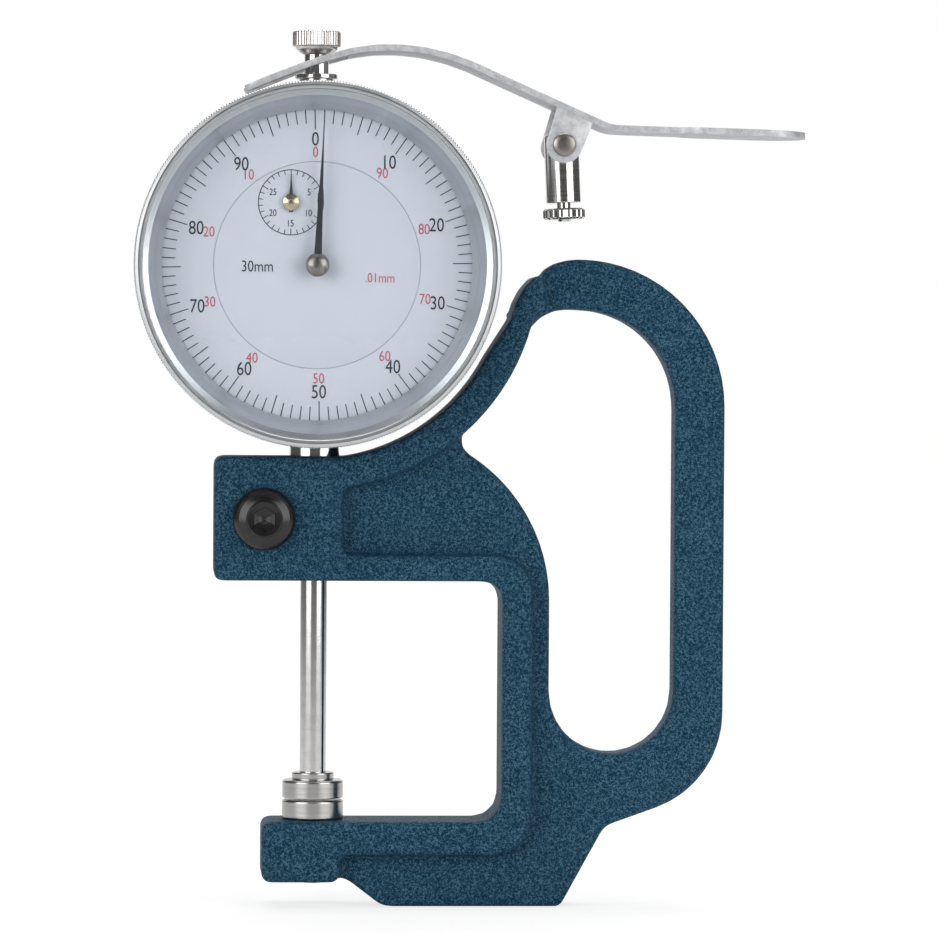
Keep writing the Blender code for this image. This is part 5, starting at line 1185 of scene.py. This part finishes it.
@dataclass
class Face:
    """Bezel, crystal and the two parts of the dial with their print."""

    box: Paintbox
    serration_count: int = 384
    serration_depth: float = 0.17
    outer_radius: float = 29.1
    grip_from: float = 28.7
    grip_low: float = 6.9
    front: float = 15.2
    back: float = 6.5
    crystal_radius: float = 27.72
    crystal_back: float = 13.7
    crystal_thickness: float = 1.0
    crystal_dome: float = 0.5
    dial_back: float = 8.1
    dial_front: float = 8.6
    ring_radius: float = 26.1
    joint_radius: float = 16.4
    centre_hole: float = 0.44
    ink: float = 0.03
    letter_extrude: float = 0.02
    narrow: float = 0.80
    tick_outer: float = 24.7
    tick_length: float = 2.25
    long_tick: float = 3.2
    tick_width: float = 0.15
    dial_turn: float = math.radians(1.1)
    black_radius: float = 20.0
    red_radius: float = 17.9
    black_height: float = 2.12
    red_height: float = 1.64
    counter_radius: float = 5.15
    counter_tick: float = 0.75
    counter_long_tick: float = 1.0
    counter_figure: float = 1.05
    counter_figure_radius: float = 3.3

    def build_bezel(self) -> None:
        """Bezel with a finely serrated grip, a groove, a rim and a sloping inner wall."""
        out = self.outer_radius
        corners: list[Corner] = [
            (27.63, self.back, 0.0), (27.63, 8.9, 0.0), (24.6, 8.9, 0.0), (24.6, 9.25, 0.0),
            (25.4, 10.3, 0.0), (26.75, 12.95, 0.0), (27.73, 13.42, 0.0), (27.76, 15.08, 0.0),
            (27.84, 15.16, 0.0), (28.12, self.front, 0.0), (28.17, 14.86, 0.0), (28.28, 14.86, 0.0),
            (28.36, 15.15, 0.0),
            (28.9, 15.05, 0.03), (out, 14.86, 0.08), (out, 14.2, 0.0), (out, 11.2, 0.0),
            (out, 8.6, 0.0), (out, 7.0, 0.25), (out - 0.55, self.back, 0.1),
        ]
        bezel = Workpiece(self.box, DIAL_AXIS)
        bezel.lathe(rounded(corners, 0.12), self.serration_count * 3, closed=True)
        bezel.flute(self.serration_count, self.serration_depth, self.grip_from, self.grip_low, self.front)
        bezel.finish("serrated_bezel", "bezel", BEZEL_ALLOY, ("bezel",), smooth_angle=28.0)

    def build_crystal(self) -> None:
        """Domed crystal."""
        edge = self.crystal_back + self.crystal_thickness - self.crystal_dome
        profile: list[Point] = [(0.0, self.crystal_back)]
        profile += [(self.crystal_radius, self.crystal_back), (self.crystal_radius, edge - 0.08)]
        for part in range(12, -1, -1):
            share = part / 12
            profile.append((self.crystal_radius * share * 0.997, edge + self.crystal_dome * (1 - share**2)))
        glass = Workpiece(self.box, DIAL_AXIS).lathe(profile, 128)
        glass.finish("domed_crystal", "bezel", CRYSTAL, ("crystal",), smooth_angle=50.0)

    def build_discs(self) -> None:
        """Outer dial ring and fixed dial centre, with a fine step between them."""
        for name, body, node, inner, outer in (
            ("printed_ring", "bezel", "dial_ring", self.joint_radius + 0.02, self.ring_radius),
            ("printed_centre", "frame", "dial_centre", self.centre_hole, self.joint_radius - 0.02),
        ):
            disc = Workpiece(self.box, DIAL_AXIS)
            disc.lathe(section(inner, outer, self.dial_back, self.dial_front), 128, closed=True, flat=False)
            disc.ease(0.05, 2, math.radians(60)).finish(name, body, DIAL_WHITE, (node,))

    def lettering(self, work: Workpiece, words: str, height: float, x: float, y: float) -> None:
        """Add plain lettering to a print.

        Args:
            work: The print.
            words: What it says.
            height: Height of a figure.
            x: Middle, to the right of the axis.
            y: Middle, above the axis.
        """
        curve = bpy.data.curves.new("lettering", "FONT")
        curve.body = words
        curve.align_x = "CENTER"
        curve.resolution_u = 4
        curve.extrude = self.letter_extrude
        holder = placed("lettering", curve)
        bpy.context.view_layer.update()
        mesh = baked(holder)
        bpy.data.curves.remove(curve)
        left = min(vert.co.x for vert in mesh.vertices)
        right = max(vert.co.x for vert in mesh.vertices)
        scale = height / max(vert.co.y for vert in mesh.vertices)
        lift = Matrix.Translation((x, y - height / 2, self.dial_front + self.ink))
        size = Matrix.Diagonal((scale * self.narrow, scale, self.ink / (2 * self.letter_extrude), 1.0))
        centred = Matrix.Translation((-(left + right) / 2, 0.0, 0.0))
        work.add_mesh(mesh, lift @ size @ centred)

    def build_scale(self) -> None:
        """Hundred ticks and the black and red figures on the ring."""
        ticks, black, red = (Workpiece(self.box, DIAL_AXIS) for _ in range(3))
        height = self.dial_front + self.ink / 2
        for index in range(100):
            length = self.long_tick if index % 5 == 0 else self.tick_length
            middle = self.tick_outer - length / 2
            turn = self.dial_turn - index * FULL_TURN / 100
            ticks.bar((self.tick_width, length, self.ink), (0.0, middle, height), turn)
        for index in range(10):
            angle = math.pi / 2 + self.dial_turn - index * FULL_TURN / 10
            for work, number, height, reach in (
                (black, index * 10, self.black_height, self.black_radius),
                (red, (10 - index) % 10 * 10, self.red_height, self.red_radius),
            ):
                self.lettering(work, str(number), height, math.cos(angle) * reach, math.sin(angle) * reach)
        ticks.finish("ring_ticks", "bezel", BLACK_INK)
        black.finish("black_figures", "bezel", BLACK_INK)
        red.finish("red_figures", "bezel", RED_INK)

    def build_centre_print(self) -> None:
        """Joint line, units and the millimetre counter's scale on the fixed centre."""
        print_black, print_red = (Workpiece(self.box, DIAL_AXIS) for _ in range(2))
        self.lettering(print_black, "30mm", 1.75, -9.45, -0.2)
        self.lettering(print_red, ".01mm", 1.5, 9.95, -1.9)
        at_x, at_y = COUNTER_AXIS.x - DIAL_AXIS.x, COUNTER_AXIS.z - DIAL_AXIS.z
        for index in range(30):
            length = self.counter_long_tick if index % 5 == 0 else self.counter_tick
            angle = math.pi / 2 - index * FULL_TURN / 30
            reach = self.counter_radius - length / 2
            x, y = at_x + reach * math.cos(angle), at_y + reach * math.sin(angle)
            place = Matrix.Translation((x, y, self.dial_front + self.ink / 2))
            size = Matrix.Rotation(angle, 4, "Z") @ Matrix.Diagonal((length, 0.12, self.ink, 1.0))
            bmesh.ops.create_cube(print_black.mesh, size=1.0, matrix=place @ size)
        for index in range(1, 6):
            angle = math.pi / 2 - index * FULL_TURN / 6
            x = at_x + self.counter_figure_radius * math.cos(angle)
            y = at_y + self.counter_figure_radius * math.sin(angle)
            self.lettering(print_black, str(index * 5), self.counter_figure, x, y)
        print_black.finish("centre_print", "frame", BLACK_INK)
        print_red.finish("centre_red_print", "frame", RED_INK)
        face, ink = self.dial_front, self.ink
        line = section(self.counter_radius - 0.07, self.counter_radius + 0.07, face, face + ink)
        circle = Workpiece(self.box, COUNTER_AXIS).lathe(line, 96, closed=True)
        circle.finish("counter_circle", "frame", BLACK_INK)
        line = section(self.joint_radius - 0.10, self.joint_radius - 0.02, face - 0.05, face + ink / 2)
        Workpiece(self.box, DIAL_AXIS).lathe(line, 128, closed=True).finish("joint_line", "frame", GREY_INK)

    def build(self) -> None:
        """Build bezel, crystal, discs and print."""
        self.build_bezel()
        self.build_crystal()
        self.build_discs()
        self.build_scale()
        self.build_centre_print()


@dataclass
class Hands:
    """Long pointer, counter hand and their hubs."""

    box: Paintbox
    pointer_turn: float = math.radians(-2.46)
    pointer_back: float = 10.15
    pointer_front: float = 10.42
    reach: float = 24.6
    hub_radius: float = 1.9
    hub_front: float = 11.75
    disc_radius: float = 1.7
    counter_thickness: float = 0.22
    counter_back: float = 8.9
    counter_reach: float = 4.6
    counter_hub_radius: float = 1.35
    counter_hub_front: float = 9.75

    def build_pointer(self) -> None:
        """Tapered pointer with a bulge, and its round boss."""
        right: list[Corner] = [
            (0.62, 0.0, 0.0), (0.60, 1.9, 0.0), (0.42, 9.2, 0.6), (0.50, 10.1, 0.6), (0.46, 11.2, 0.6),
            (0.30, 12.6, 1.0), (0.11, 19.0, 0.0), (0.075, self.reach, 0.0),
        ]
        hand = Workpiece(self.box, DIAL_AXIS)
        hand.plate(rounded(both_sides(right), 0.2), self.pointer_back, self.pointer_front, 0.05)
        hand.lathe(section(0.0, self.disc_radius, self.pointer_back + 0.005, self.pointer_front - 0.01), 48)
        hand.mesh.transform(Matrix.Rotation(self.pointer_turn, 4, "Z"))
        hand.finish("tapered_pointer", "pointer", HAND_BLACK, ("pointer",))
        dome = arc((0.0, 0.0), 1.0, math.pi / 2, 0.12, 14)
        spring = self.pointer_front + 0.2
        rise = self.hub_front - self.pointer_front - 0.2
        profile = [(0.0, spring + rise)] + [(x * self.hub_radius, spring + z * rise) for x, z in dome[1:]]
        profile += [(self.hub_radius, self.pointer_front), (0.0, self.pointer_front)]
        hub = Workpiece(self.box, DIAL_AXIS).lathe(profile, 72)
        hub.finish("pointer_boss", "pointer", HUB_STEEL, ("pointer_hub",))

    def build_counter_hand(self) -> None:
        """Short counter hand and its boss."""
        right: list[Corner] = [
            (0.36, -1.55, 0.12), (0.36, 0.0, 0.0), (0.30, 1.2, 0.3), (0.13, 3.0, 0.0),
            (0.07, self.counter_reach, 0.0),
        ]
        hand = Workpiece(self.box, COUNTER_AXIS)
        front = self.counter_back + self.counter_thickness
        hand.plate(rounded(both_sides(right), 0.15), self.counter_back, front, 0.04)
        hand.finish("counter_needle", "counter", HAND_BLACK, ("counter_hand",))
        top, radius, base = self.counter_hub_front, self.counter_hub_radius, self.counter_back + 0.24
        profile = rounded([
            (0.0, top, 0.0), (0.42, top, 0.08), (0.52, top - 0.14, 0.04), (radius - 0.05, top - 0.62, 0.08),
            (radius, base, 0.0), (0.0, base, 0.0),
        ], 0.06, closed=False)
        hub = Workpiece(self.box, COUNTER_AXIS).lathe(profile, 64)
        hub.finish("counter_boss", "counter", HUB_BRASS, ("counter_hub",))

    def build(self) -> None:
        """Build both hands."""
        self.build_pointer()
        self.build_counter_hand()


@dataclass
class LiftLever:
    """Bent lifting lever with its fork, thumb pad and ears, and the post that carries it."""

    box: Paintbox
    thickness: float = 1.0
    half_width: float = 6.0
    pad_half: float = 8.0
    pad_start: float = 33.0
    pad_end: float = 54.4
    slot_half: float = 2.6
    slot_back: float = -19.5
    station_gap: float = 0.5
    line: tuple[Corner, ...] = (
        (-35.9, 130.75, 0.0), (-31.5, 132.6, 30.0), (-24.8, 135.2, 30.0), (-19.0, 136.85, 20.0),
        (-15.1, 137.4, 16.0), (-11.3, 137.45, 16.0), (-7.4, 137.05, 16.0), (-3.5, 136.15, 20.0),
        (0.3, 134.8, 20.0), (4.2, 133.05, 40.0), (22.4, 125.0, 6.0), (26.0, 124.85, 20.0),
        (54.4, 124.15, 0.0),
    )
    eared_corner: int = 9
    across: tuple[float, ...] = (-1.0, -0.8, -0.6, -0.4333, -0.2, 0.0, 0.2, 0.4333, 0.6, 0.8, 1.0)
    ear_radius: float = 2.9
    ear_top_left: float = 3.65
    ear_top_right: float = 2.75
    ear_overlap: float = 0.4
    pin_head_radius: float = 1.88
    pin_head_height: float = 0.8
    post_radius: float = 2.8
    post_top: float = 1.9
    post_base: float = -9.1
    wheel_radius: float = 3.4
    wheel_top: float = -10.0
    wheel_base: float = -11.75
    wheel_grooves: int = 14
    wheel_groove_depth: float = 0.22

    def along(self) -> list[Point]:
        """Points of the middle line, close together."""
        corners = rounded(self.line, 0.4, closed=False)
        points: list[Point] = []
        for first, second in zip(corners, corners[1:]):
            pieces = max(1, round(math.dist(first, second) / self.station_gap))
            for share in (piece / pieces for piece in range(pieces)):
                points.append(tuple(a + (b - a) * share for a, b in zip(first, second)))
        round_start = self.pad_end - self.pad_half
        kept = [point for point in points if point[0] < round_start]
        slope = (self.line[-1][1] - self.line[-2][1]) / (self.line[-1][0] - self.line[-2][0])
        for piece in range(25):
            x = round_start + self.pad_half * math.sin(math.pi / 2 * piece / 24)
            kept.append((x, self.line[-1][1] + slope * (x - self.pad_end)))
        return kept

    def half_at(self, x: float) -> float:
        """Half the lever's width at a place along it."""
        round_start = self.pad_end - self.pad_half
        if x > round_start:
            return math.sqrt(max(0.0, self.pad_half**2 - (x - round_start) ** 2))
        share = min(1.0, max(0.0, (x - self.pad_start) / (self.pad_half / 2)))
        eased = share * share * (3 - 2 * share)
        return self.half_width + (self.pad_half - self.half_width) * eased

    def ear_outline(self) -> list[Point]:
        """Side view of one ear."""
        pivot = Vector((PIN_AXIS.x, PIN_AXIS.z))
        start, end = (Vector(corner[:2]) for corner in self.line[self.eared_corner:self.eared_corner + 2])
        slope = (end - start).normalized()
        normal = Vector((-slope.y, slope.x))
        rise = (start - pivot).dot(normal) + self.ear_overlap - self.thickness / 2
        left = pivot + normal * rise - slope * self.ear_top_left
        right = pivot + normal * rise + slope * self.ear_top_right
        low = arc(
            (pivot.x, pivot.y), self.ear_radius, math.atan2(slope.y, slope.x),
            math.atan2(-slope.y, -slope.x) - FULL_TURN, 28,
        )
        return [tuple(left), tuple(right)] + low

    def build_lever(self) -> None:
        """Lever from a sheet: cut to its outline, bent along its line and given its ears."""
        stations = self.along()
        sheet = Workpiece(self.box)
        bmesh.ops.create_grid(
            sheet.mesh, x_segments=len(stations) - 1, y_segments=len(self.across) - 1, size=1.0,
        )
        last = len(stations) - 1
        rows = len(self.across) - 1
        for vert in sheet.mesh.verts:
            index = round((vert.co.x + 1) / 2 * last)
            row = round((vert.co.y + 1) / 2 * rows)
            x, z = stations[index]
            y = self.across[row] * self.half_at(x)
            prong = (self.half_width + self.slot_half) / 2
            nose = self.half_width - prong
            into = (stations[0][0] + nose - x) / nose
            if into > 0 and abs(y) >= self.slot_half - 0.01:
                y = math.copysign(prong + (abs(y) - prong) * math.sqrt(max(0.06, 1 - into**2)), y)
            vert.co = (x, y, z)
        cut = []
        for face in sheet.mesh.faces:
            middle = face.calc_center_median()
            if middle.x < self.slot_back and abs(middle.y) < self.slot_half:
                cut.append(face)
        bmesh.ops.delete(sheet.mesh, geom=cut, context="FACES")
        sheet.close()
        if sum(face.normal.z for face in sheet.mesh.faces) <= 0:
            bmesh.ops.reverse_faces(sheet.mesh, faces=sheet.mesh.faces)
        strip = sheet.finish("lever_draft", "lever", SATIN_ALLOY)
        solid = strip.modifiers.new("sheet", "SOLIDIFY")
        solid.thickness = self.thickness * MM
        solid.offset = 0.0
        lever = Workpiece(self.box).add_mesh(baked(strip), Matrix.Scale(1 / MM, 4))
        lever.ease(0.1, 2, math.radians(60))
        outline = self.ear_outline()
        ears = Workpiece(self.box, SIDE_AXIS)
        for side in (1, -1):
            middle = side * (self.half_width - self.thickness / 2 - 0.04)
            ears.plate(outline, middle - self.thickness / 2, middle + self.thickness / 2, 0.2)
        ears.mesh.transform(SIDE_AXIS.matrix())
        lever.add_mesh(mesh_from("ears_draft", ears.mesh), Matrix.Identity(4))
        lever.finish("bent_lever", "lever", SATIN_ALLOY, ("lever",))

    def build_pin(self) -> None:
        """Pin with a domed head at each end."""
        head = self.half_width + 0.02
        cap = arc((0.0, 0.0), 1.0, 0.0, math.pi / 2, 10)
        front = [(a * self.pin_head_radius, head + 0.25 + b * (self.pin_head_height - 0.25)) for a, b in cap]
        back = [(a, -b) for a, b in front[::-1]]
        radius = self.pin_head_radius
        profile = back + [(radius, -head), (1.1, -head), (1.1, head), (radius, head)] + front
        pin = Workpiece(self.box, PIN_AXIS).lathe(profile, 64)
        pin.finish("riveted_pin", "frame", PIN_STEEL, ("pivot_pin",))

    def build_post(self) -> None:
        """Round post with eased ends."""
        profile = rounded([
            (0.0, self.post_top, 0.0), (self.post_radius, self.post_top, 0.35),
            (self.post_radius, self.post_base, 0.12), (0.0, self.post_base, 0.0),
        ], 0.08, closed=False)
        post = Workpiece(self.box, POST_AXIS).lathe(profile, 72)
        post.finish("round_post", "frame", CHROME, ("lever_post",))

    def build_wheel(self) -> None:
        """Screw under the post with its knurled wheel and boss."""
        profile = rounded([
            (0.0, self.post_base + 0.5, 0.0), (1.1, self.post_base + 0.5, 0.0), (1.1, self.wheel_top, 0.08),
            (self.wheel_radius - 0.3, self.wheel_top, 0.1), (self.wheel_radius, self.wheel_top - 0.3, 0.1),
            (self.wheel_radius, (self.wheel_top + self.wheel_base) / 2, 0.0),
            (self.wheel_radius, self.wheel_base + 0.3, 0.1), (self.wheel_radius - 0.3, self.wheel_base, 0.1),
            (1.1, self.wheel_base, 0.05), (1.0, self.wheel_base - 0.35, 0.1),
            (0.0, self.wheel_base - 0.35, 0.0),
        ], 0.1, closed=False)
        wheel = Workpiece(self.box, POST_AXIS).lathe(profile, self.wheel_grooves * 8)
        inside, low = self.wheel_radius - 0.35, self.wheel_base - 0.1
        wheel.flute(self.wheel_grooves, self.wheel_groove_depth, inside, low, self.wheel_top + 0.1, 2.5)
        wheel.finish("knurled_wheel", "post_screw", CHROME, ("post_screw",))

    def build(self) -> None:
        """Build the lever and what carries it."""
        self.build_lever()
        self.build_pin()
        self.build_post()
        self.build_wheel()


@dataclass
class Movement:
    """Finishes of the gear train, plates and springs, which keep their CAD shapes."""

    box: Paintbox
    brass: tuple[str, ...] = (
        "main_plate", "movement_bridge", "main_gear", "counter_wheel", "take_up_wheel",
        *(f"plate_pillar_{number}" for number in range(1, 5)),
    )
    steel: tuple[str, ...] = (
        "guide_pin", "guide_rail", "spring_post", "rack_pinion", "centre_pinion", "counter_arbor",
        "take_up_arbor",
    )
    springs: tuple[str, ...] = ("return_spring", "hairspring")

    def dress(self, names: Iterable[str], finish: Finish) -> None:
        """Give CAD nodes a finish.

        Args:
            names: The nodes.
            finish: Their finish.
        """
        material = self.box.get(finish, DIAL_AXIS)
        for name in names:
            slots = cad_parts[name].data.materials
            slots.clear()
            slots.append(material)
            log.info("%s: dressed in %s", name, finish.title)

    def build(self) -> None:
        """Dress every node inside the case."""
        self.dress(self.brass, BRASS)
        self.dress(self.steel, GROUND_STEEL)
        self.dress(self.springs, WIRE_STEEL)


# Studio

@dataclass
class Studio:
    """Pale floor, plain pale surroundings, soft lights and the camera."""

    floor_half: float = 4000.0
    near_edge: float = 130.0
    far_edge: float = 480.0
    near_share: float = 0.70
    glow_strength: float = 1.06
    camera_spot: tuple[float, float, float] = (-48.8, -800.0, 84.0)
    aim: tuple[float, float, float] = (0.4, 0.0, 70.2)
    lens: float = 191.1
    roll: float = math.radians(0.35)
    world_strength: float = 0.12

    def paper(self) -> bpy.types.Material:
        """Matt white paper that brightens evenly away from the gauge, as overexposed studio paper does."""
        paint, sheet, shader = fresh_material("pale_paper")
        shader.inputs["Base Color"].default_value = (0.93, 0.93, 0.93, 1.0)
        shader.inputs["Roughness"].default_value = 0.9
        shader.inputs["Specular IOR Level"].default_value = 0.1
        reach = sheet.add("ShaderNodeVectorMath", operation="LENGTH")
        sheet.wire(sheet.add("ShaderNodeTexCoord").outputs["Object"], reach.inputs[0])
        near, far = self.near_edge * MM, self.far_edge * MM
        share = sheet.spread(reach.outputs["Value"], near, far, self.near_share, 1.0)
        seen = sheet.math("MULTIPLY", share, sheet.add("ShaderNodeLightPath").outputs["Is Camera Ray"])
        glow = sheet.add("ShaderNodeEmission")
        glow.inputs["Strength"].default_value = self.glow_strength
        sheet.choose(seen, shader.outputs[0], glow.outputs[0])
        return paint

    def build_floor(self) -> None:
        """One large flat sheet under the gauge."""
        mesh = bmesh.new()
        bmesh.ops.create_grid(mesh, x_segments=8, y_segments=8, size=self.floor_half * MM)
        data = mesh_from("studio_floor", mesh)
        made = placed("studio_floor", data)
        data.materials.append(self.paper())

    def stand(
        self, thing: bpy.types.Object, spot: Sequence[float], target: Sequence[float], roll: float = 0.0
    ) -> None:
        """Put a light or the camera in its place.

        Args:
            thing: The light or the camera.
            spot: Where it stands, in millimetres.
            target: What it points at.
            roll: Turn about its own line of sight.
        """
        way = Vector(target) - Vector(spot)
        turn = way.to_track_quat("-Z", "Y").to_matrix().to_4x4() @ Matrix.Rotation(roll, 4, "Z")
        thing.matrix_world = Matrix.Translation(Vector(spot) * MM) @ turn

    def add_light(
        self, name: str, spot: Sequence[float], target: Sequence[float], size: Point,
        power: float, beam: float,
    ) -> None:
        """Add a soft rectangular light.

        Args:
            name: Name of the light.
            spot: Where it stands, in millimetres.
            target: What it points at.
            size: Its width and height.
            power: Its power in watts.
            beam: Angle of its beam, in degrees.
        """
        data = bpy.data.lights.new(name, "AREA")
        data.shape = "RECTANGLE"
        data.size, data.size_y = (length * MM for length in size)
        data.energy = power
        data.spread = math.radians(beam)
        self.stand(placed(name, data), spot, target)

    def build_lights(self) -> None:
        """A wide light on each side, one above and one behind."""
        self.add_light("left_soft", (-730.0, -700.0, 230.0), (-20.0, 0.0, 80.0), (800.0, 1100.0), 3.6, 108.0)
        self.add_light("right_soft", (730.0, -700.0, 230.0), (0.0, 0.0, 70.0), (800.0, 1100.0), 3.4, 108.0)
        self.add_light("top_soft", (0.0, 220.0, 900.0), (0.0, 200.0, 0.0), (900.0, 1000.0), 3.2, 100.0)
        self.add_light("back_soft", (0.0, 1150.0, 420.0), (0.0, 0.0, 70.0), (1800.0, 1000.0), 5.0, 180.0)

    def build_world(self) -> None:
        """Dim even air for the lighting, and plain white where the camera looks past the floor."""
        world = bpy.data.worlds.new("studio_air")
        world.use_nodes = True
        sheet = NodeSheet(world.node_tree)
        dim = world.node_tree.nodes["Background"]
        dim.inputs["Color"].default_value = (1.0, 1.0, 1.0, 1.0)
        dim.inputs["Strength"].default_value = self.world_strength
        plain = sheet.add("ShaderNodeBackground")
        plain.inputs["Color"].default_value = (1.0, 1.0, 1.0, 1.0)
        seen = sheet.add("ShaderNodeLightPath").outputs["Is Camera Ray"]
        sheet.choose(seen, dim.outputs[0], plain.outputs[0])
        bpy.context.scene.world = world

    def build_camera(self) -> None:
        """Camera at the photograph's place and angle."""
        data = bpy.data.cameras.new("studio_camera")
        data.lens = self.lens
        data.sensor_width = 36.0
        data.clip_start = 0.01
        camera = placed("studio_camera", data)
        self.stand(camera, self.camera_spot, self.aim, self.roll)
        bpy.context.scene.camera = camera

    def build(self) -> None:
        """Build floor, lights, surroundings and camera."""
        self.build_floor()
        self.build_lights()
        self.build_world()
        self.build_camera()
        bpy.context.scene.view_settings.view_transform = "Standard"


def main() -> None:
    """Build every sub-assembly in order and report it."""
    logging.basicConfig(level=logging.INFO, format="%(message)s")
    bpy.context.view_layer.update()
    box = Paintbox()
    Studio().build()
    for assembly in (CastFrame, Measuring, Case, Face, Hands, LiftLever, Movement):
        assembly(box).build()
        log.info("%s done", assembly.__name__)


if __name__ == "__main__":
    main()
